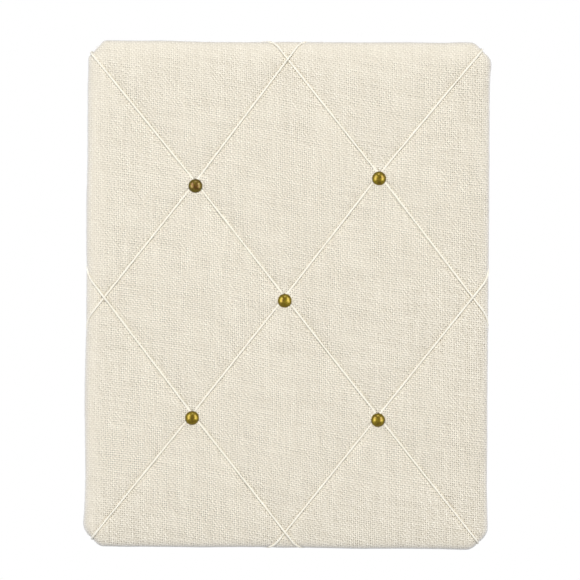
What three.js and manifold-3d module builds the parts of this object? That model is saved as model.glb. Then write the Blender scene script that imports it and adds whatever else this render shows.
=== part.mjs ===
// A padded memo board: a clipped-corner fibreboard core under batting and a linen cover, laced with six
// cords that are pinned at their crossings by domed nails. The cover's hem and the cord ends are stapled
// to the back, which carries two ring hangers.
// Millimetres. +X is right and +Z up as the board hangs, and +Y points into the wall. The origin is the
// middle of the core's back face.
import * as THREE from 'three';
import { mergeVertices } from 'three/addons/utils/BufferGeometryUtils.js';
import Module from 'manifold-3d';

// The board, measured outside its cover
const BOARD_WIDTH = 281.4;
const BOARD_HEIGHT = 354.2;
const CORNER_CLIP = 10.6;
const CORNER_SOFTNESS = 6;
const EDGE_ROLL = 5;
const REAR_ROLL = 2;

// Layers
const CORE_THICKNESS = 9.5;
const BATTING_PRESSED = 2.6;
const BATTING_SIDE = 2;
const COVER_THICKNESS = 0.8;
const HEM_DEPTH = 18;
const LAYER_GAP = 0.3;

// Pillows between the cords. The rings are shares of the way from a pane's middle to its cords.
const PANE_PUFF = 2.2;
const FULL_PUFF_PANE = 60;
const PUFF_POWER = 8;
const PILLOW_RINGS = [0.9, 0.6];
const LINING_RINGS = [0.75];

// Cords, laid in the order of CORDS below. A nail presses them flat and wide. The lean is the least sine
// of the angle between a cord and the upright.
const CORD_DIAMETER = 1.4;
const CORD_GAP = 0.15;
const CORD_PRESS = 0.6;
const CORD_SPREAD = 1.15;
const CORD_LEAN = 0.6;
const CROSSING_FLAT = 1.2;
const PRESS_REACH = 5;
const HUMP_REACH = 7;
const RELEASE_REACH = 9;
const TAIL_LENGTH = 12;

// Where the cords are aimed over the edges, from the middle of each edge, and how far the long cords slip
// along the clipped corners from their middles
const UPPER_LEFT_OVER_TOP = 8.3;
const UPPER_LEFT_OVER_LEFT = -19.2;
const UPPER_RIGHT_OVER_TOP = -11.3;
const UPPER_RIGHT_OVER_RIGHT = -15.5;
const LOWER_LEFT_OVER_LEFT = 13.3;
const LOWER_LEFT_OVER_BOTTOM = 8.2;
const LOWER_RIGHT_OVER_RIGHT = 13.4;
const LOWER_RIGHT_OVER_BOTTOM = -9.2;
const TOP_LEFT_SLIP = 5.1;
const TOP_RIGHT_SLIP = 0.35;
const BOTTOM_LEFT_SLIP = -0.65;
const BOTTOM_RIGHT_SLIP = -1;

// Nail places, from the middle of the board. They were set by hand.
const NAIL_UPPER_LEFT_X = -64.9;
const NAIL_UPPER_LEFT_Z = 75.4;
const NAIL_UPPER_RIGHT_X = 63.3;
const NAIL_UPPER_RIGHT_Z = 81.6;
const NAIL_CENTRE_X = -1.9;
const NAIL_CENTRE_Z = -4.3;
const NAIL_LOWER_LEFT_X = -66;
const NAIL_LOWER_LEFT_Z = -86.6;
const NAIL_LOWER_RIGHT_X = 63.8;
const NAIL_LOWER_RIGHT_Z = -87.1;

// Domed nails
const NAIL_HEAD = 9.5;
const NAIL_RISE = 3.4;
const NAIL_WALL = 0.5;
const NAIL_SHANK = 1.5;
const NAIL_LENGTH = 12;
const NAIL_TIP = 2;
const NAIL_CLEARANCE = 0.3;

// Staples
const STAPLE_WIDTH = 8;
const STAPLE_WIRE = 0.6;
const STAPLE_DEPTH = 1;
const STAPLE_BITE = 4.5;
const STAPLE_CLEARANCE = 0.2;
const TAIL_STAPLE = 7;
const HEM_STAPLE_INSET = 10;
const HEM_STAPLE_PITCH_TALL = 112;
const HEM_STAPLE_PITCH_WIDE = 170;
const HEM_STAPLE_TILT = 5;

// Ring hangers
const HANGER_SPACING = 150;
const HANGER_BELOW_TOP = 52.1;
const STRAP_WIDTH = 9;
const STRAP_THICKNESS = 0.9;
const STRAP_LENGTH = 22;
const KNUCKLE_TURN = 285;
const RING_WIRE = 2;
const RING_WIDTH = 15;
const RING_HEIGHT = 12;
const RING_CORNER = 1.8;
const RING_PLAY = 0.2;
const SCREW_DROP = 17;
const SCREW_HEAD = 6;
const SCREW_HEAD_EDGE = 0.7;
const SCREW_HEAD_DOME = 1.3;
const SCREW_SHANK = 2.8;
const SCREW_LENGTH = 8;
const SCREW_TIP = 2.5;
const SCREW_SLOT = 0.8;
const SCREW_SLOT_LENGTH = 3.4;
const SCREW_SLOT_DEPTH = 0.9;
const SCREW_CLEARANCE = 0.3;

// The clear middle of the back, which can lie against a wall or take a pad
const CLEAR_BACK_WIDTH = 100;
const CLEAR_BACK_HEIGHT = 180;

// Depths along Y: the cover's front between the pillows, its hem's rear face, and what lies between
const HALF_WIDTH = BOARD_WIDTH / 2;
const HALF_HEIGHT = BOARD_HEIGHT / 2;
const BATTING_BACK = -CORE_THICKNESS - LAYER_GAP;
const COVER_FRONT = BATTING_BACK - BATTING_PRESSED - LAYER_GAP - COVER_THICKNESS;
const HEM_REAR = LAYER_GAP + COVER_THICKNESS;
const BATTING_REACH = HEM_REAR - REAR_ROLL - LAYER_GAP;
const CORE_INSET = COVER_THICKNESS + LAYER_GAP + BATTING_SIDE + LAYER_GAP;
const CORD_RADIUS = CORD_DIAMETER / 2;
const PRESSED_RISE = CORD_DIAMETER * CORD_PRESS + CORD_GAP;
const NAIL_RIM = COVER_FRONT - 2 * PRESSED_RISE - CORD_GAP;
const NAIL_DROP = (NAIL_SHANK / 2 + CORD_RADIUS + CORD_GAP) / CORD_LEAN;
const NAIL_HOLE = NAIL_SHANK / 2 + NAIL_CLEARANCE;
const SCREW_HOLE = SCREW_SHANK / 2 + SCREW_CLEARANCE;
const KNUCKLE_BORE = RING_WIRE / 2 + RING_PLAY;
const HANGER_AXIS = KNUCKLE_BORE + STRAP_THICKNESS;
const HANGER_HEIGHT = HALF_HEIGHT - HANGER_BELOW_TOP;

// Facets, and the least sizes that keep an outline sound
const TUBE_SIDES = 8;
const HOLE_SIDES = 8;
const BORE_SIDES = 12;
const NAIL_SIDES = 18;
const DOME_STEPS = 5;
const HOLLOW_STEPS = 3;
const SCREW_SIDES = 16;
const FILLET_STEPS = 2;
const KNUCKLE_STEPS = 12;
const TONGUE_STEPS = 8;
const RING_STEPS = 6;
const CIRCLE_PHASE = 0.15;
const LEAST_FILLET = 0.6;
const LEAST_CLIP = 1;
const WELD = 1e-4;
const EIGHTH_TURN = Math.PI / 4;

const wasm = await Module();
wasm.setup();

const flat = (x, z) => new THREE.Vector2(x, z);
const onPlane = (point, y) => new THREE.Vector3(point.x, y, point.y);

// Meshes are gathered as plain triangles and welded at the end.
class Surface {
  constructor() {
    this.corners = [];
  }

  triangle(a, b, c) {
    if (a.equals(b) || b.equals(c) || c.equals(a)) return;
    this.corners.push(a.x, a.y, a.z, b.x, b.y, b.z, c.x, c.y, c.z);
  }

  // Joins two rings that run anticlockwise as seen from the front. Going from the front ring to the
  // rear one, the wall faces away from the middle.
  strip(first, second) {
    first.forEach((point, i) => {
      const next = (i + 1) % first.length;
      this.triangle(point, second[i], second[next]);
      this.triangle(point, second[next], first[next]);
    });
  }

  loft(rings) {
    rings.slice(1).forEach((ring, i) => this.strip(rings[i], ring));
  }

  // Fills a flat outline with its holes. A facing of -1 looks to the front and 1 to the wall.
  fill(outline, holes, y, facing) {
    const points = [outline, ...holes].flat();
    for (const face of THREE.ShapeUtils.triangulateShape(outline, holes)) {
      const [a, b, c] = face.map((i) => points[i]);
      const turn = (b.x - a.x) * (c.y - a.y) - (b.y - a.y) * (c.x - a.x);
      const order = turn * facing < 0 ? [a, b, c] : [a, c, b];
      this.triangle(...order.map((point) => onPlane(point, y)));
    }
  }

  // Closes a ring with triangles round a middle point
  fan(ring, middle, facing) {
    ring.forEach((point, i) => {
      const next = ring[(i + 1) % ring.length];
      this.triangle(middle, ...(facing < 0 ? [point, next] : [next, point]));
    });
  }

  geometry() {
    const geometry = new THREE.BufferGeometry();
    geometry.setAttribute('position', new THREE.Float32BufferAttribute(this.corners, 3));
    return geometry;
  }
}

function toSolid(geometry) {
  const bare = geometry.clone();
  bare.deleteAttribute('normal');
  bare.deleteAttribute('uv');
  const welded = mergeVertices(bare, WELD);
  return new wasm.Manifold(new wasm.Mesh({
    numProp: 3,
    vertProperties: welded.attributes.position.array,
    triVerts: new Uint32Array(welded.index.array),
  }));
}

function toGeometry(solid) {
  const mesh = solid.getMesh();
  const geometry = new THREE.BufferGeometry();
  geometry.setAttribute('position', new THREE.Float32BufferAttribute(mesh.vertProperties, 3));
  geometry.setIndex(new THREE.BufferAttribute(mesh.triVerts, 1));
  return geometry;
}

function cut(geometry, tools) {
  return toGeometry(tools.reduce((solid, tool) => solid.subtract(toSolid(tool)), toSolid(geometry)));
}

function peg(radius, fromY, toY, at, sides) {
  const geometry = new THREE.CylinderGeometry(radius, radius, toY - fromY, sides);
  return geometry.translate(at.x, (fromY + toY) / 2, at.y);
}

function circle(radius, at, sides) {
  return Array.from({ length: sides }, (_, i) => {
    const angle = ((i + CIRCLE_PHASE) * 2 * Math.PI) / sides;
    return flat(at.x + radius * Math.cos(angle), at.y + radius * Math.sin(angle));
  });
}

// The outline: eight straight edges with rounded turns, anticlockwise as seen from the front
const EDGES = ['right', 'top_right', 'top', 'top_left', 'left', 'bottom_left', 'bottom', 'bottom_right'];

const edgeNormal = (edge) => flat(Math.cos(edge * EIGHTH_TURN), Math.sin(edge * EIGHTH_TURN));
const edgeTangent = (edge) => flat(-Math.sin(edge * EIGHTH_TURN), Math.cos(edge * EIGHTH_TURN));

function edgeDistance(edge, inset) {
  if (edge % 4 === 0) return HALF_WIDTH - inset;
  if (edge % 4 === 2) return HALF_HEIGHT - inset;
  const clipped = (HALF_WIDTH + HALF_HEIGHT - CORNER_CLIP) / Math.SQRT2 - inset;
  const corner = (HALF_WIDTH + HALF_HEIGHT - 2 * inset) / Math.SQRT2;
  return Math.min(clipped, corner - LEAST_CLIP);
}

// Where an edge meets the next one round
function turnPoint(edge, inset) {
  const next = (edge + 1) % 8;
  const [a, b] = [edgeNormal(edge), edgeNormal(next)];
  const [p, q] = [edgeDistance(edge, inset), edgeDistance(next, inset)];
  const cross = a.x * b.y - a.y * b.x;
  return flat((p * b.y - q * a.y) / cross, (a.x * q - b.x * p) / cross);
}

const filletAt = (inset) => Math.max(CORNER_SOFTNESS - inset, LEAST_FILLET);

function straightRun(edge, inset) {
  const shortening = filletAt(inset) * Math.tan(EIGHTH_TURN / 2);
  const tangent = edgeTangent(edge);
  const start = turnPoint((edge + 7) % 8, inset).addScaledVector(tangent, shortening);
  const end = turnPoint(edge, inset).addScaledVector(tangent, -shortening);
  return { start, end };
}

function filletPoints(edge, inset) {
  const radius = filletAt(inset);
  const middle = (edge + 0.5) * EIGHTH_TURN;
  const out = flat(Math.cos(middle), Math.sin(middle));
  const centre = turnPoint(edge, inset).addScaledVector(out, -radius / Math.cos(EIGHTH_TURN / 2));
  return Array.from({ length: FILLET_STEPS + 1 }, (_, i) => {
    const angle = (edge + i / FILLET_STEPS) * EIGHTH_TURN;
    return flat(centre.x + radius * Math.cos(angle), centre.y + radius * Math.sin(angle));
  });
}

// An aim over one of the four long edges, at a distance along X or Z, or over a clipped corner
function overEdge(name, along) {
  const edge = EDGES.indexOf(name);
  const normal = edgeNormal(edge);
  const tangent = flat(Math.abs(normal.y), Math.abs(normal.x));
  const aim = normal.multiplyScalar(edgeDistance(edge, 0)).addScaledVector(tangent, along);
  return { edge, aim };
}

function overClip(name, slip) {
  const edge = EDGES.indexOf(name);
  const { start, end } = straightRun(edge, 0);
  return { edge, aim: start.lerp(end, 0.5).addScaledVector(edgeTangent(edge), slip) };
}

const NAILS = {
  upper_left: flat(NAIL_UPPER_LEFT_X, NAIL_UPPER_LEFT_Z),
  upper_right: flat(NAIL_UPPER_RIGHT_X, NAIL_UPPER_RIGHT_Z),
  centre: flat(NAIL_CENTRE_X, NAIL_CENTRE_Z),
  lower_left: flat(NAIL_LOWER_LEFT_X, NAIL_LOWER_LEFT_Z),
  lower_right: flat(NAIL_LOWER_RIGHT_X, NAIL_LOWER_RIGHT_Z),
};

// Each cord runs between two edges, over the shanks of its nails. A later cord lies over an earlier one.
const CORDS = [
  {
    name: 'cord_long_falling',
    nails: ['upper_left', 'centre', 'lower_right'],
    from: overClip('top_left', TOP_LEFT_SLIP),
    to: overClip('bottom_right', BOTTOM_RIGHT_SLIP),
  },
  {
    name: 'cord_long_rising',
    nails: ['lower_left', 'centre', 'upper_right'],
    from: overClip('bottom_left', BOTTOM_LEFT_SLIP),
    to: overClip('top_right', TOP_RIGHT_SLIP),
  },
  {
    name: 'cord_upper_right',
    nails: ['upper_right'],
    from: overEdge('top', UPPER_RIGHT_OVER_TOP),
    to: overEdge('right', UPPER_RIGHT_OVER_RIGHT),
  },
  {
    name: 'cord_lower_right',
    nails: ['lower_right'],
    from: overEdge('bottom', LOWER_RIGHT_OVER_BOTTOM),
    to: overEdge('right', LOWER_RIGHT_OVER_RIGHT),
  },
  {
    name: 'cord_upper_left',
    nails: ['upper_left'],
    from: overEdge('left', UPPER_LEFT_OVER_LEFT),
    to: overEdge('top', UPPER_LEFT_OVER_TOP),
  },
  {
    name: 'cord_lower_left',
    nails: ['lower_left'],
    from: overEdge('left', LOWER_LEFT_OVER_LEFT),
    to: overEdge('bottom', LOWER_LEFT_OVER_BOTTOM),
  },
];

// Pairs of short cords that cross near the middle of an edge, with no nail there
const FREE_CROSSINGS = [
  { name: 'top', under: 2, over: 4, at: { under: 'from', over: 'to' } },
  { name: 'right', under: 2, over: 3, at: { under: 'to', over: 'to' } },
  { name: 'left', under: 4, over: 5, at: { under: 'from', over: 'from' } },
  { name: 'bottom', under: 3, over: 5, at: { under: 'from', over: 'to' } },
];

// Where two cords cross at a nail: just above it, so that both clear its shank
const nailCrossing = (name) => NAILS[name].clone().add(flat(0, NAIL_DROP));

// The point where a straight line from a nail's crossing passes the start of the rolled edge
function exitOf(cord, end) {
  const nail = end === 'from' ? cord.nails[0] : cord.nails.at(-1);
  const start = nailCrossing(nail);
  const { edge, aim } = cord[end];
  const normal = edgeNormal(edge);
  const heading = aim.clone().sub(start).normalize();
  const run = (edgeDistance(edge, EDGE_ROLL) - start.dot(normal)) / heading.dot(normal);
  return { edge, start, heading, point: start.clone().addScaledVector(heading, run) };
}

function lineCrossing(a, b) {
  const cross = a.heading.x * b.heading.y - a.heading.y * b.heading.x;
  const gap = b.start.clone().sub(a.start);
  const run = (gap.x * b.heading.y - gap.y * b.heading.x) / cross;
  return a.start.clone().addScaledVector(a.heading, run);
}

for (const cord of CORDS) {
  cord.exits = { from: exitOf(cord, 'from'), to: exitOf(cord, 'to') };
}

// Junctions of the lattice by name: nails, free crossings and exits such as cord_upper_left.to
const junctions = new Map();
for (const name of Object.keys(NAILS)) junctions.set(name, nailCrossing(name));
for (const crossing of FREE_CROSSINGS) {
  const lower = CORDS[crossing.under].exits[crossing.at.under];
  const upper = CORDS[crossing.over].exits[crossing.at.over];
  junctions.set(crossing.name, lineCrossing(lower, upper));
}
const exits = CORDS.flatMap((cord) => ['from', 'to'].map((end) => {
  const { edge, point } = cord.exits[end];
  const { start, end: stop } = straightRun(edge, EDGE_ROLL);
  const share = point.clone().sub(start).length() / stop.clone().sub(start).length();
  return { name: `${cord.name}.${end}`, edge, share };
}));
for (const exit of exits) {
  const { start, end } = straightRun(exit.edge, EDGE_ROLL);
  junctions.set(exit.name, start.lerp(end, exit.share));
}

const outlineAt = (inset) => Array.from({ length: 8 }, (_, edge) => filletPoints(edge, inset)).flat();

// A closed ring round the board at an inset. It has a point for every cord's exit, so all rings match.
function ringAt(inset) {
  const ring = [];
  for (let edge = 0; edge < 8; edge += 1) {
    const { start, end } = straightRun(edge, inset);
    const here = exits.filter((exit) => exit.edge === edge).sort((a, b) => a.share - b.share);
    for (const exit of here) ring.push(start.clone().lerp(end, exit.share));
    ring.push(...filletPoints(edge, inset));
  }
  return ring;
}

const ring3 = (inset, y) => ringAt(inset).map((point) => onPlane(point, y));
const frontRing = ringAt(EDGE_ROLL);

// The panes between the cords, each named by its junctions, anticlockwise
const RIM_PANES = [
  ['lower_right', 'cord_long_falling.to', 'cord_upper_right.to', 'right'],
  ['right', 'cord_upper_right.to', 'cord_lower_right.to'],
  ['upper_right', 'right', 'cord_lower_right.to', 'cord_long_rising.to'],
  ['upper_right', 'cord_long_rising.to', 'cord_upper_left.to', 'top'],
  ['top', 'cord_upper_left.to', 'cord_upper_right.from'],
  ['upper_left', 'top', 'cord_upper_right.from', 'cord_long_falling.from'],
  ['upper_left', 'cord_long_falling.from', 'cord_lower_left.from', 'left'],
  ['left', 'cord_lower_left.from', 'cord_upper_left.from'],
  ['lower_left', 'left', 'cord_upper_left.from', 'cord_long_rising.from'],
  ['lower_left', 'cord_long_rising.from', 'cord_lower_right.from', 'bottom'],
  ['bottom', 'cord_lower_right.from', 'cord_lower_left.to'],
  ['lower_right', 'bottom', 'cord_lower_left.to', 'cord_long_falling.to'],
];
const DIAMOND_PANES = [
  ['centre', 'upper_right', 'top', 'upper_left'],
  ['centre', 'upper_left', 'left', 'lower_left'],
  ['centre', 'lower_left', 'bottom', 'lower_right'],
  ['centre', 'lower_right', 'right', 'upper_right'],
];

function rimSpan(from, to) {
  const find = (point) => frontRing.findIndex((other) => other.distanceTo(point) < WELD);
  const [first, last] = [find(from), find(to)];
  const count = (last - first + frontRing.length) % frontRing.length;
  return Array.from({ length: count }, (_, i) => frontRing[(first + i) % frontRing.length]);
}

function paneLoop(names) {
  return names.flatMap((name, i) => {
    const next = names[(i + 1) % names.length];
    const [from, to] = [junctions.get(name), junctions.get(next)];
    return name.includes('.') && next.includes('.') ? rimSpan(from, to) : [from];
  });
}

const panes = [...RIM_PANES, ...DIAMOND_PANES].map((names) => {
  const loop = paneLoop(names);
  const corners = names.map((name) => junctions.get(name));
  const middle = corners.reduce((sum, point) => sum.add(point), flat(0, 0)).divideScalar(corners.length);
  const size = Math.sqrt(Math.abs(THREE.ShapeUtils.area(loop)));
  return { loop, middle, puff: PANE_PUFF * Math.min(1, size / FULL_PUFF_PANE) };
});

// Pillows at a depth below the cover's outer face: each pane is lofted from its cords to its crown.
function addPillows(surface, depth, shares, facing) {
  for (const { loop, middle, puff } of panes) {
    const ring = (share) => loop.map((point) => {
      const rise = puff * (1 - share ** PUFF_POWER);
      return onPlane(middle.clone().lerp(point, share), COVER_FRONT + depth - rise);
    });
    const rings = [1, ...shares].map(ring);
    const crown = onPlane(middle, COVER_FRONT + depth - puff);
    const ordered = [...rings, loop.map(() => crown)];
    if (facing < 0) ordered.reverse();
    surface.loft(ordered);
  }
}

// The rolled front edge and the turn to the hem, at a depth below the cover's outer face. The hidden
// layers have fewer facets.
const OUTER_ROLL = [0, 45, 90].map(THREE.MathUtils.degToRad);
const INNER_ROLL = [0, 90].map(THREE.MathUtils.degToRad);
function rolledRings(depth) {
  const radius = EDGE_ROLL - depth;
  return (depth ? INNER_ROLL : OUTER_ROLL).map((angle) => ring3(
    EDGE_ROLL - radius * Math.sin(angle),
    COVER_FRONT + EDGE_ROLL - radius * Math.cos(angle),
  ));
}

function hemRings(depth) {
  const radius = REAR_ROLL - depth;
  const turned = (depth ? INNER_ROLL : OUTER_ROLL).map((angle) => ring3(
    REAR_ROLL - radius * Math.cos(angle),
    HEM_REAR - REAR_ROLL + radius * Math.sin(angle),
  ));
  return [...turned, ring3(HEM_DEPTH, HEM_REAR - depth)];
}

function makeCover(slots) {
  const surface = new Surface();
  const outside = [...rolledRings(0), ...hemRings(0)];
  const inside = [...rolledRings(COVER_THICKNESS), ...hemRings(COVER_THICKNESS)].reverse();
  addPillows(surface, 0, PILLOW_RINGS, -1);
  surface.loft([...outside, ...inside]);
  addPillows(surface, COVER_THICKNESS, LINING_RINGS, 1);
  const shanks = Object.values(NAILS).map((nail) => peg(
    NAIL_HOLE, COVER_FRONT - PANE_PUFF, BATTING_BACK, nail, HOLE_SIDES,
  ));
  return cut(surface.geometry(), [...shanks, ...slots]);
}

function makeBatting() {
  const surface = new Surface();
  const depth = COVER_THICKNESS + LAYER_GAP;
  const inner = CORE_INSET - LAYER_GAP;
  addPillows(surface, depth, LINING_RINGS, -1);
  surface.loft([
    ...rolledRings(depth),
    ring3(depth, BATTING_REACH),
    ring3(inner, BATTING_REACH),
    ring3(inner, BATTING_BACK),
  ]);
  surface.fan(ring3(inner, BATTING_BACK), new THREE.Vector3(0, BATTING_BACK, 0), 1);
  return cut(surface.geometry(), Object.values(NAILS).map((nail) => peg(
    NAIL_HOLE, COVER_FRONT - PANE_PUFF, BATTING_BACK + LAYER_GAP, nail, HOLE_SIDES,
  )));
}

// The core: a plate with blind holes for the nails in front, and for staple legs and screws behind
function makeCore(rearPockets) {
  const surface = new Surface();
  const outline = outlineAt(CORE_INSET);
  const nailDepth = NAIL_LENGTH + NAIL_RIM + CORE_THICKNESS + NAIL_CLEARANCE;
  const nailHoles = Object.values(NAILS).map((nail) => circle(NAIL_HOLE, nail, HOLE_SIDES));
  const clearX = CLEAR_BACK_WIDTH / 2;
  const clearZ = CLEAR_BACK_HEIGHT / 2;
  const clear = [flat(-clearX, -clearZ), flat(clearX, -clearZ), flat(clearX, clearZ), flat(-clearX, clearZ)];
  const placed = (points, y) => points.map((point) => onPlane(point, y));
  surface.fill(outline, nailHoles, -CORE_THICKNESS, -1);
  surface.strip(placed(outline, -CORE_THICKNESS), placed(outline, 0));
  surface.fill(outline, [clear, ...rearPockets.map((pocket) => pocket.outline)], 0, 1);
  surface.fill(clear, [], 0, 1);
  for (const hole of nailHoles) {
    surface.strip(placed(hole, nailDepth - CORE_THICKNESS), placed(hole, -CORE_THICKNESS));
    surface.fill(hole, [], nailDepth - CORE_THICKNESS, -1);
  }
  for (const { outline: pocket, depth } of rearPockets) {
    surface.strip(placed(pocket, 0), placed(pocket, -depth));
    surface.fill(pocket, [], -depth, 1);
  }
  return surface.geometry();
}

// One station of a cord: its place on the cover, the outward direction there, how far it is lifted
// over another cord, and how far it is pressed flat
function station(point, y, out, lift = 0, press = 1) {
  const half = CORD_RADIUS * press;
  const centre = onPlane(point, y).addScaledVector(out, CORD_GAP + half + lift);
  const width = CORD_RADIUS * THREE.MathUtils.mapLinear(press, 1, CORD_PRESS, 1, CORD_SPREAD);
  return { centre, out, half, width };
}

const FORWARD = new THREE.Vector3(0, -1, 0);
const REARWARD = new THREE.Vector3(0, 1, 0);

// The stretch across the front, with each crossing's hump and pressed part
function frontStations(cord, rank) {
  const [start, end] = [cord.exits.from.point, cord.exits.to.point];
  const free = (side) => FREE_CROSSINGS.filter(({ under, over, at }) => (
    (under === rank && at.under === side) || (over === rank && at.over === side)));
  const names = [...free('from').map((c) => c.name), ...cord.nails, ...free('to').map((c) => c.name)];
  const stops = [start, ...names.map((name) => junctions.get(name)), end];
  const stations = [];
  names.forEach((name, i) => {
    const here = stops[i + 1];
    const before = stops[i].clone().sub(here).normalize();
    const after = stops[i + 2].clone().sub(here).normalize();
    const isNail = name in NAILS;
    const mates = isNail
      ? CORDS.findIndex((other) => other !== cord && other.nails.includes(name))
      : FREE_CROSSINGS.find((c) => c.name === name).under;
    const isOver = isNail ? rank > mates : rank !== mates;
    const full = isNail ? PRESSED_RISE : CORD_DIAMETER + CORD_GAP;
    const shape = crossingShape(isNail, isOver, full);
    for (const [reach, lift, press] of [...shape].reverse()) {
      stations.push(station(here.clone().addScaledVector(before, reach), COVER_FRONT, FORWARD, lift, press));
    }
    for (const [reach, lift, press] of shape) {
      stations.push(station(here.clone().addScaledVector(after, reach), COVER_FRONT, FORWARD, lift, press));
    }
  });
  return stations;
}

// Stations on one side of a crossing, from it outwards: distance, lift and press
function crossingShape(isNail, isOver, full) {
  if (!isNail && !isOver) return [[HUMP_REACH, 0, 1]];
  if (!isNail) return [[CROSSING_FLAT, full, 1], [HUMP_REACH, 0, 1]];
  if (!isOver) return [[PRESS_REACH, 0, CORD_PRESS], [RELEASE_REACH, 0, 1]];
  return [
    [CROSSING_FLAT, full, CORD_PRESS],
    [PRESS_REACH, full / 4, CORD_PRESS],
    [RELEASE_REACH, 0, 1],
  ];
}

// From an exit the cord follows the cover round the edge, keeping its slant, to its tail on the hem.
const WRAP_ANGLES = [0, 22.5, 45, 67.5, 90].map(THREE.MathUtils.degToRad);
const TURN_ANGLES = [0, 30, 60, 90].map(THREE.MathUtils.degToRad);
function wrapStations({ edge, point, heading }) {
  const normal = edgeNormal(edge);
  const tangent = edgeTangent(edge);
  const slant = heading.dot(tangent) / heading.dot(normal);
  const lift = CORD_GAP + CORD_RADIUS;
  const outward = (share, depth) => new THREE.Vector3(normal.x * share, depth, normal.y * share);
  const place = (reach, travelled) => point.clone()
    .addScaledVector(normal, reach)
    .addScaledVector(tangent, slant * travelled);
  const stations = WRAP_ANGLES.map((angle) => station(
    place(EDGE_ROLL * Math.sin(angle), (EDGE_ROLL + lift) * angle),
    COVER_FRONT + EDGE_ROLL - EDGE_ROLL * Math.cos(angle),
    outward(Math.sin(angle), -Math.cos(angle)),
  ));
  const sideStart = ((EDGE_ROLL + lift) * Math.PI) / 2;
  const turnStart = sideStart + HEM_REAR - REAR_ROLL - COVER_FRONT - EDGE_ROLL;
  for (const angle of TURN_ANGLES) {
    stations.push(station(
      place(EDGE_ROLL - REAR_ROLL + REAR_ROLL * Math.cos(angle), turnStart + (REAR_ROLL + lift) * angle),
      HEM_REAR - REAR_ROLL + REAR_ROLL * Math.sin(angle),
      outward(Math.cos(angle), Math.sin(angle)),
    ));
  }
  const hemStart = turnStart + ((REAR_ROLL + lift) * Math.PI) / 2;
  const onHem = (run) => place(EDGE_ROLL - REAR_ROLL - run, hemStart + run);
  stations.push(station(onHem(TAIL_LENGTH), HEM_REAR, REARWARD));
  const inward = onHem(1).sub(onHem(0)).normalize();
  return { stations, staple: { at: onHem(TAIL_STAPLE), along: flat(-inward.y, inward.x) } };
}

// A tube through its stations, with an oval section square to its run
function sweep(stations, closed = false) {
  const surface = new Surface();
  const count = stations.length;
  const rings = stations.map(({ centre, out, half, width }, i) => {
    const before = stations[closed ? (i + count - 1) % count : Math.max(i - 1, 0)].centre;
    const after = stations[closed ? (i + 1) % count : Math.min(i + 1, count - 1)].centre;
    const run = after.clone().sub(before).normalize();
    const side = new THREE.Vector3().crossVectors(run, out).normalize();
    const up = new THREE.Vector3().crossVectors(side, run);
    return Array.from({ length: TUBE_SIDES }, (_, k) => {
      const angle = ((k + 0.5) * 2 * Math.PI) / TUBE_SIDES;
      return centre.clone()
        .addScaledVector(side, width * Math.cos(angle))
        .addScaledVector(up, half * Math.sin(angle));
    });
  });
  surface.loft(closed ? [...rings, rings[0]] : rings);
  if (!closed) {
    surface.fan(rings[0], stations[0].centre, -1);
    surface.fan(rings.at(-1), stations.at(-1).centre, 1);
  }
  return facingOut(surface.geometry());
}

// Turns a closed surface right side out
function facingOut(geometry) {
  const corners = geometry.attributes.position;
  const [a, b, c] = [new THREE.Vector3(), new THREE.Vector3(), new THREE.Vector3()];
  let volume = 0;
  for (let i = 0; i < corners.count; i += 3) {
    a.fromBufferAttribute(corners, i);
    b.fromBufferAttribute(corners, i + 1);
    c.fromBufferAttribute(corners, i + 2);
    volume += a.dot(b.cross(c));
  }
  if (volume > 0) return geometry;
  for (let i = 0; i < corners.count; i += 3) {
    b.fromBufferAttribute(corners, i + 1);
    c.fromBufferAttribute(corners, i + 2);
    corners.setXYZ(i + 1, c.x, c.y, c.z);
    corners.setXYZ(i + 2, b.x, b.y, b.z);
  }
  return geometry;
}

function revolve(profile, segments) {
  const turned = new THREE.LatheGeometry(profile, segments);
  turned.deleteAttribute('normal');
  turned.deleteAttribute('uv');
  return facingOut(mergeVertices(turned, WELD).toNonIndexed());
}

// Points on a dome that rises forward from its rim, between two distances from its axis
function domePoints(rim, rise, fromRadius, toRadius, steps) {
  const radius = (rim ** 2 + rise ** 2) / (2 * rise);
  const [first, last] = [Math.asin(fromRadius / radius), Math.asin(toRadius / radius)];
  return Array.from({ length: steps + 1 }, (_, i) => {
    const angle = THREE.MathUtils.lerp(first, last, i / steps);
    return flat(radius * Math.sin(angle), radius - rise - radius * Math.cos(angle));
  });
}

// A nail: a hollow domed head with a pointed shank. Its own origin is the middle of the rim.
function makeNail() {
  const rim = NAIL_HEAD / 2;
  const shank = NAIL_SHANK / 2;
  const innerRim = rim - NAIL_WALL;
  const innerRise = NAIL_RISE - NAIL_WALL;
  return revolve([
    ...domePoints(rim, NAIL_RISE, 0, rim, DOME_STEPS),
    ...domePoints(innerRim, innerRise, innerRim, shank, HOLLOW_STEPS),
    flat(shank, NAIL_LENGTH - NAIL_TIP),
    flat(0, NAIL_LENGTH),
  ], NAIL_SIDES);
}

// A staple lying along X with its legs pointing forward. Its own origin is under the crown's middle.
function makeStaple(legLength) {
  const half = STAPLE_WIDTH / 2;
  const inside = half - STAPLE_WIRE;
  const shape = new THREE.Shape([
    flat(-half, -legLength), flat(-inside, -legLength), flat(-inside, 0), flat(inside, 0),
    flat(inside, -legLength), flat(half, -legLength), flat(half, STAPLE_WIRE), flat(-half, STAPLE_WIRE),
  ]);
  const bar = new THREE.ExtrudeGeometry(shape, { depth: STAPLE_DEPTH, bevelEnabled: false });
  return bar.translate(0, 0, -STAPLE_DEPTH / 2);
}

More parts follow.
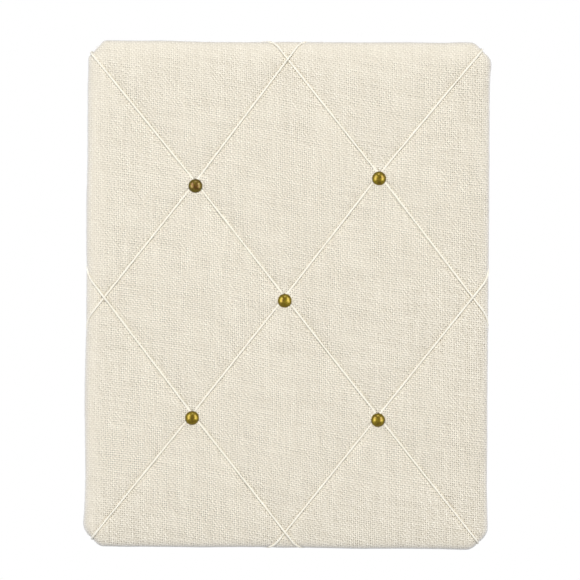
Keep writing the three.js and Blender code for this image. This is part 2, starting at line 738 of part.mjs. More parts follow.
// The two oblong holes that a staple's legs need
function stapleHoles({ at, along }) {
  const across = flat(-along.y, along.x);
  const halfLong = STAPLE_WIRE / 2 + STAPLE_CLEARANCE;
  const halfWide = STAPLE_DEPTH / 2 + STAPLE_CLEARANCE;
  return [-1, 1].map((side) => {
    const middle = at.clone().addScaledVector(along, (side * (STAPLE_WIDTH - STAPLE_WIRE)) / 2);
    return [[-1, -1], [1, -1], [1, 1], [-1, 1]].map(([i, j]) => middle.clone()
      .addScaledVector(along, i * halfLong)
      .addScaledVector(across, j * halfWide));
  });
}

function prism(outline, fromY, toY) {
  const surface = new Surface();
  surface.fill(outline, [], fromY, -1);
  surface.strip(outline.map((p) => onPlane(p, fromY)), outline.map((p) => onPlane(p, toY)));
  surface.fill(outline, [], toY, 1);
  return surface.geometry();
}

// A hanger's own origin is on the core's back, below the ring's axis. X is the axis.
function makeStrap() {
  const profile = new THREE.Shape();
  const turn = THREE.MathUtils.degToRad(KNUCKLE_TURN);
  const at = (radius, angle) => flat(radius * Math.sin(angle), HANGER_AXIS - radius * Math.cos(angle));
  const roll = (radius) => Array.from({ length: KNUCKLE_STEPS + 1 }, (_, i) => (
    at(radius, (turn * i) / KNUCKLE_STEPS)));
  profile.setFromPoints([
    flat(-STRAP_LENGTH, 0),
    ...roll(HANGER_AXIS),
    ...roll(KNUCKLE_BORE).reverse(),
    flat(-STRAP_LENGTH, STRAP_THICKNESS),
  ]);
  const bar = new THREE.ExtrudeGeometry(profile, { depth: STRAP_WIDTH, bevelEnabled: false });
  // The profile was drawn with its length along X and its height along Y: its length turns to Z.
  bar.translate(0, 0, -STRAP_WIDTH / 2).rotateY(-Math.PI / 2);
  const tongue = new THREE.Shape();
  const half = STRAP_WIDTH / 2;
  tongue.moveTo(half, HANGER_AXIS + LAYER_GAP);
  tongue.lineTo(-half, HANGER_AXIS + LAYER_GAP);
  tongue.lineTo(-half, half - STRAP_LENGTH);
  tongue.absarc(0, half - STRAP_LENGTH, half, Math.PI, 2 * Math.PI, false);
  const plan = prism(tongue.getPoints(TONGUE_STEPS).slice(0, -1), -LAYER_GAP, 2 * HANGER_AXIS + LAYER_GAP);
  const hole = peg(SCREW_HOLE, -LAYER_GAP, HANGER_AXIS, flat(0, -SCREW_DROP), BORE_SIDES);
  const strap = toSolid(bar).intersect(toSolid(plan)).subtract(toSolid(hole));
  return toGeometry(strap);
}

function makeRing() {
  const half = RING_WIDTH / 2;
  const path = new THREE.Path();
  path.absarc(half - RING_CORNER, -RING_CORNER, RING_CORNER, Math.PI / 2, 0, true);
  path.absarc(0, half - RING_HEIGHT, half, 0, -Math.PI, true);
  path.absarc(RING_CORNER - half, -RING_CORNER, RING_CORNER, Math.PI, Math.PI / 2, true);
  const stations = path.getPoints(RING_STEPS).map((point) => ({
    centre: onPlane(point, HANGER_AXIS),
    out: REARWARD,
    half: RING_WIRE / 2,
    width: RING_WIRE / 2,
  }));
  return sweep(stations, true);
}

// A pan-head screw with a cross slot. Its own origin is under the head.
function makeScrew() {
  const head = SCREW_HEAD / 2;
  const shank = SCREW_SHANK / 2;
  const dome = domePoints(head, SCREW_HEAD_DOME, 0, head, HOLLOW_STEPS);
  const body = revolve([
    ...dome.map((point) => flat(point.x, SCREW_HEAD_EDGE - point.y)),
    flat(head, 0),
    flat(shank, 0),
    flat(shank, SCREW_TIP - SCREW_LENGTH),
    flat(0, -SCREW_LENGTH),
  ], SCREW_SIDES);
  const depth = 2 * SCREW_SLOT_DEPTH;
  const slots = [
    new THREE.BoxGeometry(SCREW_SLOT_LENGTH, depth, SCREW_SLOT),
    new THREE.BoxGeometry(SCREW_SLOT, depth, SCREW_SLOT_LENGTH),
  ];
  return cut(body, slots.map((slot) => slot.translate(0, SCREW_HEAD_EDGE + SCREW_HEAD_DOME, 0)));
}

const finish = (color, roughness, metalness) => (
  new THREE.MeshStandardMaterial({ color, roughness, metalness }));
const linen = () => finish(0xe9e1cd, 0.9, 0);
const cordCotton = () => finish(0xf8f1de, 0.8, 0);
const brass = () => finish(0x8a7029, 0.35, 1);
const steel = () => finish(0xb4b6b8, 0.35, 1);
const zinc = () => finish(0xc3c0b4, 0.4, 1);
const fibreboard = () => finish(0x9a7650, 0.85, 0);
const wadding = () => finish(0xf5f4ef, 1, 0);

const board = new THREE.Group();
board.name = 'memo_board';

function addPiece(name, geometry, material, parent = board) {
  const mesh = new THREE.Mesh(geometry, material);
  mesh.name = name;
  parent.add(mesh);
  return mesh;
}

// Cords first, because their tails say where the staples go
const tails = [];
CORDS.forEach((cord, rank) => {
  const from = wrapStations(cord.exits.from);
  const to = wrapStations(cord.exits.to);
  const route = [...from.stations.toReversed(), ...frontStations(cord, rank), ...to.stations];
  addPiece(cord.name, sweep(route), cordCotton());
  tails.push({ name: `${cord.name}_start_staple`, ...from.staple });
  tails.push({ name: `${cord.name}_end_staple`, ...to.staple });
});

// Hem staples are driven by hand, each a little askew.
function leaning(angle, i) {
  const lean = angle + THREE.MathUtils.degToRad(i % 2 ? -HEM_STAPLE_TILT : HEM_STAPLE_TILT);
  return flat(Math.cos(lean), Math.sin(lean));
}
const hemStaples = [];
for (const [side, sign] of Object.entries({ left: -1, right: 1 })) {
  for (const [i, place] of ['lower', 'middle', 'upper'].entries()) {
    const at = flat(sign * (HALF_WIDTH - HEM_STAPLE_INSET), (i - 1) * HEM_STAPLE_PITCH_TALL);
    hemStaples.push({ name: `hem_staple_${side}_${place}`, at, along: leaning(Math.PI / 2, i) });
  }
}
for (const [side, sign] of Object.entries({ top: 1, bottom: -1 })) {
  for (const [i, place] of ['left', 'right'].entries()) {
    const at = flat((i - 0.5) * HEM_STAPLE_PITCH_WIDE, sign * (HALF_HEIGHT - HEM_STAPLE_INSET));
    hemStaples.push({ name: `hem_staple_${side}_${place}`, at, along: leaning(0, i) });
  }
}

function addStaple({ name, at, along }, crownY) {
  const staple = addPiece(name, makeStaple(crownY + STAPLE_BITE), steel());
  staple.position.set(at.x, crownY, at.y);
  staple.rotation.y = Math.atan2(-along.y, along.x);
}
const overCord = HEM_REAR + CORD_GAP + CORD_DIAMETER + CORD_GAP;
for (const tail of tails) addStaple(tail, overCord);
for (const staple of hemStaples) addStaple(staple, HEM_REAR + CORD_GAP);

const hangerPlaces = {
  left: flat(-HANGER_SPACING / 2, HANGER_HEIGHT),
  right: flat(HANGER_SPACING / 2, HANGER_HEIGHT),
};
for (const [side, at] of Object.entries(hangerPlaces)) {
  const hanger = new THREE.Group();
  hanger.position.set(at.x, 0, at.y);
  addPiece(`hanger_strap_${side}`, makeStrap(), zinc(), hanger);
  addPiece(`hanger_ring_${side}`, makeRing(), zinc(), hanger);
  const screw = addPiece(`hanger_screw_${side}`, makeScrew(), steel(), hanger);
  screw.position.set(0, STRAP_THICKNESS + CORD_GAP, -SCREW_DROP);
  board.add(hanger);
}

const holes = [...tails, ...hemStaples].flatMap(stapleHoles);
const slots = holes.map((outline) => prism(outline, -LAYER_GAP, HEM_REAR + LAYER_GAP));
const legPockets = holes.map((outline) => ({ outline, depth: STAPLE_BITE + STAPLE_CLEARANCE }));
const screwPockets = Object.values(hangerPlaces).map((at) => ({
  outline: circle(SCREW_HOLE, flat(at.x, at.y - SCREW_DROP), BORE_SIDES),
  depth: SCREW_LENGTH - STRAP_THICKNESS + SCREW_CLEARANCE,
}));
addPiece('core_board', makeCore([...legPockets, ...screwPockets]), fibreboard());
addPiece('batting', makeBatting(), wadding());
addPiece('fabric_cover', makeCover(slots), linen());

for (const [name, at] of Object.entries(NAILS)) {
  addPiece(`nail_${name}`, makeNail(), brass()).position.set(at.x, NAIL_RIM, at.y);
}

export default board;
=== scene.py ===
"""A padded linen memo board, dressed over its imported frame.

Lengths are millimetres until a mesh is made. Points of the flat front are (x, z) pairs.
"""
import math
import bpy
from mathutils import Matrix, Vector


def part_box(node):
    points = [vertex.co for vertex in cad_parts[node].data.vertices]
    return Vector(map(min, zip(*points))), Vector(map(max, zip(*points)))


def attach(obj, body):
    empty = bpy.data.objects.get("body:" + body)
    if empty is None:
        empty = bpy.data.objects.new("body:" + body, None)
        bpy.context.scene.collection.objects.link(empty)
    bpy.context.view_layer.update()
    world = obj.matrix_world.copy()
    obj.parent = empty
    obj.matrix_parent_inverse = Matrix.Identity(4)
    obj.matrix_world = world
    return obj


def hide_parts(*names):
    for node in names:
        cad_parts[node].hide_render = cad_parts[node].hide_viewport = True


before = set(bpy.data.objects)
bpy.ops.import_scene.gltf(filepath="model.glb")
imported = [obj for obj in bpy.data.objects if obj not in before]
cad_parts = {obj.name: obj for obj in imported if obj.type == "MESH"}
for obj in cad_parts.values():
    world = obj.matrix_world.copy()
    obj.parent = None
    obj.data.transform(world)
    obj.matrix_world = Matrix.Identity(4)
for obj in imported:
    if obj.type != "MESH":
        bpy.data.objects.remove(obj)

from types import SimpleNamespace

import bmesh
import bpy
import numpy as np
from mathutils import Euler, Quaternion, Vector
from mathutils.geometry import delaunay_2d_cdt

MM = 0.001
QUARTER_TURN = math.pi / 2
EIGHTH_TURN = math.pi / 4
FULL_TURN = 2 * math.pi
SCENE = bpy.context.scene
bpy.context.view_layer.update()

# The board, as the frame has it
HALF_WIDTH = 140.7
HALF_HEIGHT = 177.1
CORNER_CLIP = 10.6
CORNER_SOFTNESS = 6.0
LEAST_CLIP = 1
LEAST_FILLET = 0.6
EDGE_ROLL = 5.0
REAR_ROLL = 2.0
COVER_FRONT = -13.5
HEM_REAR = 1.1
HEM_DEPTH = 18.0
SIDE_LENGTH = HEM_REAR - REAR_ROLL - COVER_FRONT - EDGE_ROLL
PUFF = 2.2
CORD_RADIUS = 0.7
CORD_GAP = 0.15
CORD_LIFT = CORD_GAP + CORD_RADIUS
CORD_PRESS = 0.6
CORD_SPREAD = 1.15
TAIL_LENGTH = 12.0
CORNER_EASE = 0.5
NAIL_DROP = 2.667
NAIL_RIM = -15.63
HANGER_X = 75.0
RING_AXIS_Y = 2.1
RING_AXIS_Z = 125.0

NAILS = {
    "upper_left": (-64.9, 75.4),
    "upper_right": (63.3, 81.6),
    "centre": (-1.9, -4.3),
    "lower_left": (-66.0, -86.6),
    "lower_right": (63.8, -87.1),
}
# Name, nails, and the edge and place at each end. Edges count anticlockwise from the right one.
CORDS = [
    ("cord_long_falling", ("upper_left", "centre", "lower_right"), (3, 5.1), (7, -1.0)),
    ("cord_long_rising", ("lower_left", "centre", "upper_right"), (5, -0.65), (1, 0.35)),
    ("cord_upper_right", ("upper_right",), (2, -11.3), (0, -15.5)),
    ("cord_lower_right", ("lower_right",), (6, -9.2), (0, 13.4)),
    ("cord_upper_left", ("upper_left",), (4, -19.2), (2, 8.3)),
    ("cord_lower_left", ("lower_left",), (4, 13.3), (6, 8.2)),
]
# Short cords that cross near an edge: the lower cord and its end, the upper cord and its end
FREE_CROSSINGS = [((2, 0), (4, 1)), ((2, 1), (3, 1)), ((4, 0), (5, 0)), ((3, 0), (5, 1))]

# How far the hand-stretched edges stray outwards, by the place along each edge
TALL_PLACES = (-166, -160, -155, -132, -104, -76, -48, -28, -20, -12,
               8, 36, 64, 92, 120, 148, 157, 161, 166)
WIDE_PLACES = (-129, -122, -115, -87, -59, -31, -3, 25, 53, 81, 109, 116, 129)
CLIP_PLACES = (-9, 9)
EDGE_SWAY = {
    4: (TALL_PLACES, (0.9, 1.5, 0.7, -0.15, 0.4, 1.0, 0.65, 0.3, 0.2, 0.15,
                      0.15, 0.5, 0.7, 0.15, 0.3, 0.4, 0.0, 0.1, 0.3)),
    0: (TALL_PLACES, (0.6, 0.8, 0.5, -0.2, 0, -0.2, -0.2, -0.15, -0.1, -0.1,
                      0, 0, 0, 0, -0.2, -0.1, 0.4, 1.0, 1.0)),
    2: (WIDE_PLACES, (0.2, 0, -0.15, 0.15, -0.7, -0.65, 0, -0.15, -0.15, 0.3, -0.1, 0.5, 0.6)),
    6: (WIDE_PLACES, (0.2, 0.1, 0.3, 0.15, 0.35, -0.15, 0.2, 0.1, 0.5, 0.15, 0.3, 0.5, 0.7)),
    1: (CLIP_PLACES, (0.0, 0.0)),
    3: (CLIP_PLACES, (-0.6, -0.6)),
    5: (CLIP_PLACES, (0.3, 0.3)),
    7: (CLIP_PLACES, (0.4, 0.4)),
}

SEED = 11
rng = np.random.default_rng(SEED)


# The outline

def edge_normal(edge):
    return np.array([math.cos(edge * EIGHTH_TURN), math.sin(edge * EIGHTH_TURN)])


def edge_tangent(edge):
    return np.array([-math.sin(edge * EIGHTH_TURN), math.cos(edge * EIGHTH_TURN)])


def edge_axis(edge):
    """The direction in which places along an edge count: up or to the right on the long edges."""
    return edge_tangent(edge) if edge % 2 else np.abs(edge_normal(edge)[::-1])


def edge_distance(edge, inset):
    if edge % 4 == 0:
        return HALF_WIDTH - inset
    if edge % 4 == 2:
        return HALF_HEIGHT - inset
    clipped = (HALF_WIDTH + HALF_HEIGHT - CORNER_CLIP) / math.sqrt(2) - inset
    corner = (HALF_WIDTH + HALF_HEIGHT - 2 * inset) / math.sqrt(2)
    return min(clipped, corner - LEAST_CLIP)


def cross(a, b):
    return a[0] * b[1] - a[1] * b[0]


def turn_point(edge, inset):
    """Where an edge meets the next one."""
    a, b = edge_normal(edge), edge_normal(edge + 1)
    p, q = edge_distance(edge % 8, inset), edge_distance((edge + 1) % 8, inset)
    return np.array([p * b[1] - q * a[1], a[0] * q - b[0] * p]) / cross(a, b)


def fillet_at(inset):
    return max(CORNER_SOFTNESS - inset, LEAST_FILLET)


def straight_run(edge, inset):
    """The ends of an edge's straight part."""
    short = fillet_at(inset) * math.tan(EIGHTH_TURN / 2)
    tangent = edge_tangent(edge)
    return turn_point(edge - 1, inset) + tangent * short, turn_point(edge, inset) - tangent * short


RING_STEPS = {0: 150, 2: 118}
CLIP_STEPS = 18
FILLET_STEPS = 4


def ring_at(inset):
    """Points round the board at an inset, anticlockwise, and the outward direction at each."""
    points, normals = [], []
    radius = fillet_at(inset)
    for edge in range(8):
        start, end = straight_run(edge, inset)
        steps = RING_STEPS.get(edge % 4, CLIP_STEPS)
        points += [start + (end - start) * i / steps for i in range(steps)]
        normals += [edge_normal(edge)] * steps
        corner = edge_normal(edge + 0.5) * radius / math.cos(EIGHTH_TURN / 2)
        outs = [edge_normal(edge + i / FILLET_STEPS) for i in range(FILLET_STEPS)]
        points += [turn_point(edge, inset) - corner + out * radius for out in outs]
        normals += outs
    return np.array(points), np.array(normals)


# The cords' routes

def crossing_at(nail):
    return np.array(NAILS[nail]) + (0, NAIL_DROP)


def aim_at(edge, along):
    """The place on an edge that a cord runs to."""
    if edge % 2:
        middle = sum(straight_run(edge, 0)) / 2
    else:
        middle = edge_normal(edge) * edge_distance(edge, 0)
    return middle + edge_axis(edge) * along


def exit_of(cord, end):
    """Where and how a cord leaves the front, at the start of the edge's roll."""
    edge, along = cord[2 + end]
    start = crossing_at(cord[1][-end])
    heading = aim_at(edge, along) - start
    heading /= np.linalg.norm(heading)
    normal, tangent = edge_normal(edge), edge_tangent(edge)
    run = (edge_distance(edge, EDGE_ROLL) - start @ normal) / (heading @ normal)
    # The slant is the shift along the edge for each step across it
    return SimpleNamespace(
        start=start, heading=heading, point=start + heading * run, normal=normal, tangent=tangent,
        slant=(heading @ tangent) / (heading @ normal), ease=CORNER_EASE if edge % 2 else 1.0)


exits = [[exit_of(cord, end) for end in (0, 1)] for cord in CORDS]


def line_crossing(a, b):
    run = cross(b.start - a.start, b.heading) / cross(a.heading, b.heading)
    return a.start + a.heading * run


free_points = [line_crossing(exits[a][i], exits[b][j]) for (a, i), (b, j) in FREE_CROSSINGS]


def front_stops(rank):
    """The crossings along a cord's front, each with its kind, and the two exits."""
    stops = [(exits[rank][0].point, "exit")]
    for end in (0, 1):
        if end:
            for nail in CORDS[rank][1]:
                mate = [i for i, c in enumerate(CORDS) if i != rank and nail in c[1]][0]
                stops.append((crossing_at(nail), "nail_over" if rank > mate else "nail_under"))
        for point, pair in zip(free_points, FREE_CROSSINGS):
            if (rank, end) in pair:
                stops.append((point, "free_over" if (rank, end) == pair[1] else "free_under"))
    stops.append((exits[rank][1].point, "exit"))
    return stops


segments = []
for rank in range(len(CORDS)):
    stops = [point for point, _ in front_stops(rank)]
    segments += list(zip(stops[:-1], stops[1:]))


def cord_distance(points):
    """Distance from each point of the front to the nearest cord."""
    best = np.full(len(points), np.inf)
    for a, b in segments:
        run = b - a
        share = np.clip((points - a) @ run / (run @ run), 0, 1)
        best = np.minimum(best, np.linalg.norm(points - a - share[:, None] * run, axis=1))
    return best


def rim_distance(points, inset=EDGE_ROLL):
    """Distance from each point of the front to the ring at an inset, positive inside."""
    return np.min([edge_distance(e, inset) - points @ edge_normal(e) for e in range(8)], axis=0)


# Curves

WAVE_COUNT = 9
WAVE_SPREAD = (0.7, 1.5)
WAVE_PHASE = 6.3


def waves(points, seed, height, length):
    """Smooth random waves over the plane, about as high as height either way."""
    source = np.random.default_rng(seed)
    total = np.zeros(len(points))
    for _ in range(WAVE_COUNT):
        angle = source.uniform(0, FULL_TURN)
        pace = FULL_TURN / (length * source.uniform(*WAVE_SPREAD))
        heading = pace * np.array([math.cos(angle), math.sin(angle)])
        total += np.sin(points @ heading + source.uniform(0, WAVE_PHASE))
    return height * (total / math.sqrt(WAVE_COUNT / 2) / 2)


def bell(gap, height, width):
    return height * np.exp(-(gap / width) ** 2)


def unit(vectors):
    return vectors / np.linalg.norm(vectors, axis=1)[:, None]


def raised(points, y):
    """Points of the plane at a depth, or each at its own."""
    return np.column_stack([points[:, 0], np.broadcast_to(y, len(points)), points[:, 1]])


# Meshes

def make_object(name, vertices, faces, smooth=True):
    mesh = bpy.data.meshes.new(name)
    mesh.from_pydata((np.asarray(vertices) * MM).tolist(), [], faces)
    mesh.update()
    if smooth:
        mesh.shade_smooth()
    made = bpy.data.objects.new(name, mesh)
    SCENE.collection.objects.link(made)
    return made


def point_vectors(made, name, values):
    layer = made.data.attributes.new(name, "FLOAT_VECTOR", "POINT")
    layer.data.foreach_set("vector", np.asarray(values, float).ravel())


def strip(first, second):
    """Quads between two rings of vertex numbers, facing out when first lies in front."""
    count = len(first)
    return [(first[i], second[i], second[(i + 1) % count], first[(i + 1) % count])
            for i in range(count)]


def stitched(layers, faces, rim):
    """A front and the rings behind it as one mesh, and the numbers of the last ring."""
    total = len(layers[0])
    for layer in layers[1:]:
        ring = list(range(total, total + len(layer)))
        faces = faces + strip(rim, ring)
        rim = ring
        total += len(layer)
    return np.vstack(layers), faces, rim


def row_numbers(count, sides):
    return [list(range(i * sides, (i + 1) * sides)) for i in range(count)]


def tube_faces(start, rows, sides):
    """Quads along a tube whose vertices come row by row, and its two caps."""
    faces = []
    for i in range(rows - 1):
        a, b = start + i * sides, start + (i + 1) * sides
        for k in range(sides):
            n = (k + 1) % sides
            faces.append((a + k, a + n, b + n, b + k))
    end = start + (rows - 1) * sides
    faces.append(tuple(range(start, start + sides))[::-1])
    faces.append(tuple(range(end, end + sides)))
    return faces


ROW_STEP = 0.866
GRID_JITTER = 0.12
LINE_STEP = 1.5
LINE_STEP_SHARE = 0.8
LINE_OVERLAP = 0.05
RIM_MARGIN = 0.9
MERGE_WITHIN = 0.25


def lines_beside(offsets):
    """Points on each cord's line and beside it, which keep clear of the other cords and the rim."""
    lines = []
    for a, b in segments:
        length = np.linalg.norm(b - a)
        run = (b - a) / length
        side = np.array([-run[1], run[0]])
        for offset in [0.0] + [s * o for o in offsets for s in (-1, 1)]:
            step = max(LINE_STEP, abs(offset) * LINE_STEP_SHARE)
            count = max(int(length / step), 2)
            along = np.arange(0 if offset == 0 else 0.5, count) / count
            line = a + run * (along * length)[:, None] + side * offset
            line = line[cord_distance(line) > abs(offset) - LINE_OVERLAP]
            lines.append(line[rim_distance(line) > RIM_MARGIN])
    return lines


def plain_front(spacing, offsets):
    """A triangle mesh of the flat front, finer beside the cords, and the numbers of its rim."""
    rim, _ = ring_at(EDGE_ROLL)
    rows = np.arange(-HALF_HEIGHT, HALF_HEIGHT, spacing * ROW_STEP)
    columns = np.arange(-HALF_WIDTH, HALF_WIDTH, spacing)
    grid = np.array([(x + (i % 2) * spacing / 2, z) for i, z in enumerate(rows) for x in columns])
    grid = grid + rng.uniform(-GRID_JITTER, GRID_JITTER, grid.shape) * spacing
    clear = cord_distance(grid) > max(offsets) + spacing * 0.5
    grid = grid[clear & (rim_distance(grid) > spacing * 0.5)]
    points = np.vstack([rim, grid] + lines_beside(offsets))
    cells = np.round(points / MERGE_WITHIN).astype(int)
    _, unique = np.unique(cells, axis=0, return_index=True)
    points = points[np.sort(np.union1d(unique, np.arange(len(rim))))]
    border = [list(range(len(rim)))]
    inside_only, tolerance = 1, 1e-4
    made = delaunay_2d_cdt([Vector(p) for p in points], [], border, inside_only, tolerance, True)
    flat = np.array([tuple(v) for v in made[0]])
    place = {source: i for i, sources in enumerate(made[3]) for source in sources}
    return flat, [tuple(f) for f in made[2]], [place[i] for i in range(len(rim))]


CORNER_ANGLE = math.radians(38)
FLAT_ANGLE = math.radians(0.5)
SAME_POINT = 1e-6


def refined(name, node, rounding):
    """A finer copy of a pressed or turned node, with eased edges and curves shaded smooth."""
    shape = bmesh.new()
    shape.from_mesh(node.data)
    shape.transform(node.matrix_world)
    bmesh.ops.remove_doubles(shape, verts=shape.verts[:], dist=SAME_POINT)
    bmesh.ops.dissolve_limit(shape, angle_limit=FLAT_ANGLE, verts=shape.verts[:],
                             edges=shape.edges[:])
    corners = [e for e in shape.edges if e.is_manifold and e.calc_face_angle() > CORNER_ANGLE]
    bmesh.ops.bevel(shape, geom=corners, offset=rounding * MM, segments=2, profile=0.5,
                    affect="EDGES", clamp_overlap=True)
    shape.verts.index_update()
    piece = make_object(name, np.array([tuple(v.co) for v in shape.verts]) / MM,
                        [tuple(v.index for v in f.verts) for f in shape.faces])
    shape.free()
    piece.modifiers.new("flats", "WEIGHTED_NORMAL")
    return piece


# The cover's front

PILLOW_REACH = 7.5
RIM_FIRMNESS = 1.15


def pillow_rise(points):
    """How far the padding lifts the cover above its valleys, without a simulation."""
    near = np.minimum(cord_distance(points), RIM_FIRMNESS * np.maximum(rim_distance(points), 0))
    return PUFF * (1 - np.exp(-near / PILLOW_REACH))


SETTLE_FRAMES = 20
PADDING_GRIP = 0.42
CLOTH_SHRINK = 0.02


def settle(flat, faces, rise, held):
    """Cloth over the padding's push, drawn down along the cords, once it has come to rest."""
    level = raised(flat, COVER_FRONT)
    puffed = level - np.outer(rise, (0, 1, 0))
    cloth = make_object("settling_cloth", puffed, faces)
    cloth.shape_key_add(name="puffed")
    rest = cloth.shape_key_add(name="level")
    rest.data.foreach_set("co", (level * MM).ravel())
    group = cloth.vertex_groups.new(name="held")
    group.add(np.flatnonzero(held).tolist(), 1.0, "REPLACE")
    group.add(np.flatnonzero(~held).tolist(), PADDING_GRIP, "REPLACE")
    modifier = cloth.modifiers.new("cloth", "CLOTH")
    settings = modifier.settings
    settings.vertex_group_mass = "held"
    settings.rest_shape_key = rest
    settings.shrink_min = CLOTH_SHRINK
    settings.effector_weights.gravity = 0
    modifier.collision_settings.use_collision = False
    modifier.point_cache.frame_end = SETTLE_FRAMES
    for number in range(1, SETTLE_FRAMES + 1):
        SCENE.frame_set(number)
    settled = cloth.evaluated_get(bpy.context.evaluated_depsgraph_get()).data
    places = np.empty(len(flat) * 3)
    settled.vertices.foreach_get("co", places)
    bpy.data.objects.remove(cloth)
    SCENE.frame_set(1)
    return places.reshape(-1, 3) / MM


# Where the cloth is held, and where and how fast the padding begins to push it
HELD_BY_CORD = 0.85
HELD_BY_RIM = 0.05
PUSH_FROM = 0.82
PUSH_REACH = 2.5
# The valleys beside the cords
VALLEY_DEPTH = 0.45
VALLEY_FLOOR = 0.1
VALLEY_FROM = 0.6
VALLEY_WIDTH = 0.9
# Uneven padding: the seed, height and length of its waves, as in every row for waves
LUMPS = (8, 0.1, 26)
LUMP_REACH = 8
# The swell round a nail's head, split by the cords
SWELL = (2.35, 3.4)
SWELL_AT = 5.5
SWELL_SPLIT = 0.85
# The slope from the rim, which caps the rise there
RIM_RISE = 1.25
RIM_REACH = 5.6
RIM_SLOPE = 0.03
RIM_EASE = 1.5
LEAST_RISE = 0.02
LEAST_SLOPE = 1e-3
BLEND_POWER = 3


def front_shape(flat, faces):
    """The front's points after settling, and how far each stands above the cover's flat."""
    near = cord_distance(flat)
    inside = np.maximum(rim_distance(flat), 0)
    rise = pillow_rise(flat)
    free = np.minimum(np.maximum(near - PUSH_FROM, 0), inside)
    pushed = PUFF * (1 - np.exp(-free / PUSH_REACH))
    places = settle(flat, faces, pushed, (near < HELD_BY_CORD) | (inside < HELD_BY_RIM))
    rise = np.clip(COVER_FRONT - places[:, 1], 0, PUFF)
    flat = places[:, [0, 2]]
    valley = bell(np.maximum(near - VALLEY_FROM, 0), 1, VALLEY_WIDTH)
    rise = rise + VALLEY_DEPTH * (1 - valley) - VALLEY_FLOOR
    rise = rise + waves(flat, *LUMPS) * np.minimum(near / LUMP_REACH, 1)
    for nail in NAILS.values():
        gap = np.linalg.norm(flat - np.array(nail), axis=1)
        swell = bell(gap - SWELL_AT, *SWELL) * (1 - bell(near, 1, SWELL_SPLIT))
        rise = np.maximum(rise, swell)
    slope = RIM_RISE * (1 - np.exp(-inside / RIM_REACH)) + RIM_SLOPE * inside
    capped = np.maximum(rise, LEAST_RISE) ** -BLEND_POWER
    capped = (capped + np.maximum(slope, LEAST_SLOPE) ** -BLEND_POWER) ** (-1 / BLEND_POWER)
    rise = np.where(rise > LEAST_RISE, capped, rise)
    return flat, rise * np.minimum(inside / RIM_EASE, 1)


WEFT_SLOPE = 0.165
SLOPE_EASE = 0.45
WARP_SWAY = (3, 0.8, 120)
WEFT_SWAY = (4, 1.2, 150)


def thread_line(points):
    """Where the cloth's threads lie: the weft falls to the right, less so at the sides."""
    x = points[:, 0]
    drop = WEFT_SLOPE * (x - SLOPE_EASE * x * (x / HALF_WIDTH) ** 4 / 5)
    u = points[:, 0] + waves(points, *WARP_SWAY)
    v = points[:, 1] + drop + waves(points, *WEFT_SWAY)
    return np.column_stack([u, v])


# How much the weave is drawn close, left slack, or opened by strain and darkened as painted shade
# beside the cords, and over what width
TIGHT_LEFT = (0.75, 12)
TIGHT_TOP = (0.75, 14)
TIGHT_RIM = (0.55, 3.5)
TIGHT_RIM_INSET = -1.5
SLACK_RIGHT = (0.2, 25)
SLACK_BELOW = (0.15, 60)
STRAIN_AND_SHADE = (0.7, 0.5)
STRAIN_AND_SHADE_AT = 0.9
DRAWN_ABOVE = 0.14
DRAWN_BELOW = 0.05
PATCHY = (31, 0.12, 40)


def openness(points):
    """How open the weave is: close along the left and top edges, and opened and darkened beside the
    cords, partly by their strain and partly as painted shade.
    """
    x, z = points[:, 0], points[:, 1]
    gaps = ((x + HALF_WIDTH, TIGHT_LEFT), (HALF_HEIGHT - z, TIGHT_TOP),
            (rim_distance(points, TIGHT_RIM_INSET), TIGHT_RIM))
    tight = np.max([bell(np.maximum(gap, 0), *shape) for gap, shape in gaps], axis=0)
    slack = bell(x - HALF_WIDTH, *SLACK_RIGHT) + bell(z + HALF_HEIGHT, *SLACK_BELOW)
    # Painted shade: the opening beside the cords also darkens the cloth there, like shade along a
    # pressed cord
    strain_and_shade = 1 + bell(cord_distance(points) - STRAIN_AND_SHADE_AT, *STRAIN_AND_SHADE)
    height = z / HALF_HEIGHT
    drawn = 1 - DRAWN_ABOVE * np.clip(height, 0, 1) - DRAWN_BELOW * np.clip(-height, 0, 1)
    uneven = 1 + slack + waves(points, *PATCHY)
    return uneven * (1 - tight) * strain_and_shade * drawn


# The cover's edge and hem

EDGE_PULL = (1.35, 1.45)
WIDE_PULL = (0.25, 7)
OTHER_EDGE = 50


def cord_pull(rim_points, rim_out, travelled):
    """How far the cords draw the cloth in, after they have come so far from their exits."""
    pull = np.zeros(len(rim_points))
    for leave in sum(exits, []):
        at = leave.point + leave.tangent * leave.slant * travelled
        elsewhere = rim_out @ leave.normal < 0.9
        gap = np.abs((rim_points - at) @ leave.tangent) + OTHER_EDGE * elsewhere
        drawn = bell(gap, *EDGE_PULL) + bell(gap, *WIDE_PULL)
        pull = np.maximum(pull, drawn * leave.ease)
    return pull


PLEAT_AT = 3.4
PLEAT_WIDTH = 6.5
PLEAT_RISE = 0.85


def pleat_shares(rim_points, rim_out):
    """The folds beside the clipped corners, which rise at once and run out along the edge."""
    pleat = np.zeros(len(rim_points))
    for edge in (1, 3, 5, 7):
        middle = sum(straight_run(edge, EDGE_ROLL)) / 2
        beside = np.abs((rim_points - middle) @ edge_tangent(edge))
        fold = np.where(beside > PLEAT_AT, 1 - (beside - PLEAT_AT) / PLEAT_WIDTH, 0)
        pleat = np.maximum(pleat, fold * (rim_out @ edge_normal(edge) > 0.6))
    return pleat


RIPPLE = (22, 0.06, 12)
RIPPLE_KERNEL = np.hanning(7)[1:-1] / 3


def edge_ripple(rim_points, rim_out):
    """How far the stretched edge strays outwards."""
    count = len(rim_points)
    ripple = waves(rim_points, *RIPPLE)
    for edge, (places, sway) in EDGE_SWAY.items():
        on_edge = rim_out @ edge_normal(edge) > 0.99
        along = rim_points @ edge_axis(edge)
        ripple[on_edge] += np.interp(along[on_edge], places, sway)
    return np.convolve(np.tile(ripple, 3), RIPPLE_KERNEL, "same")[count:2 * count]


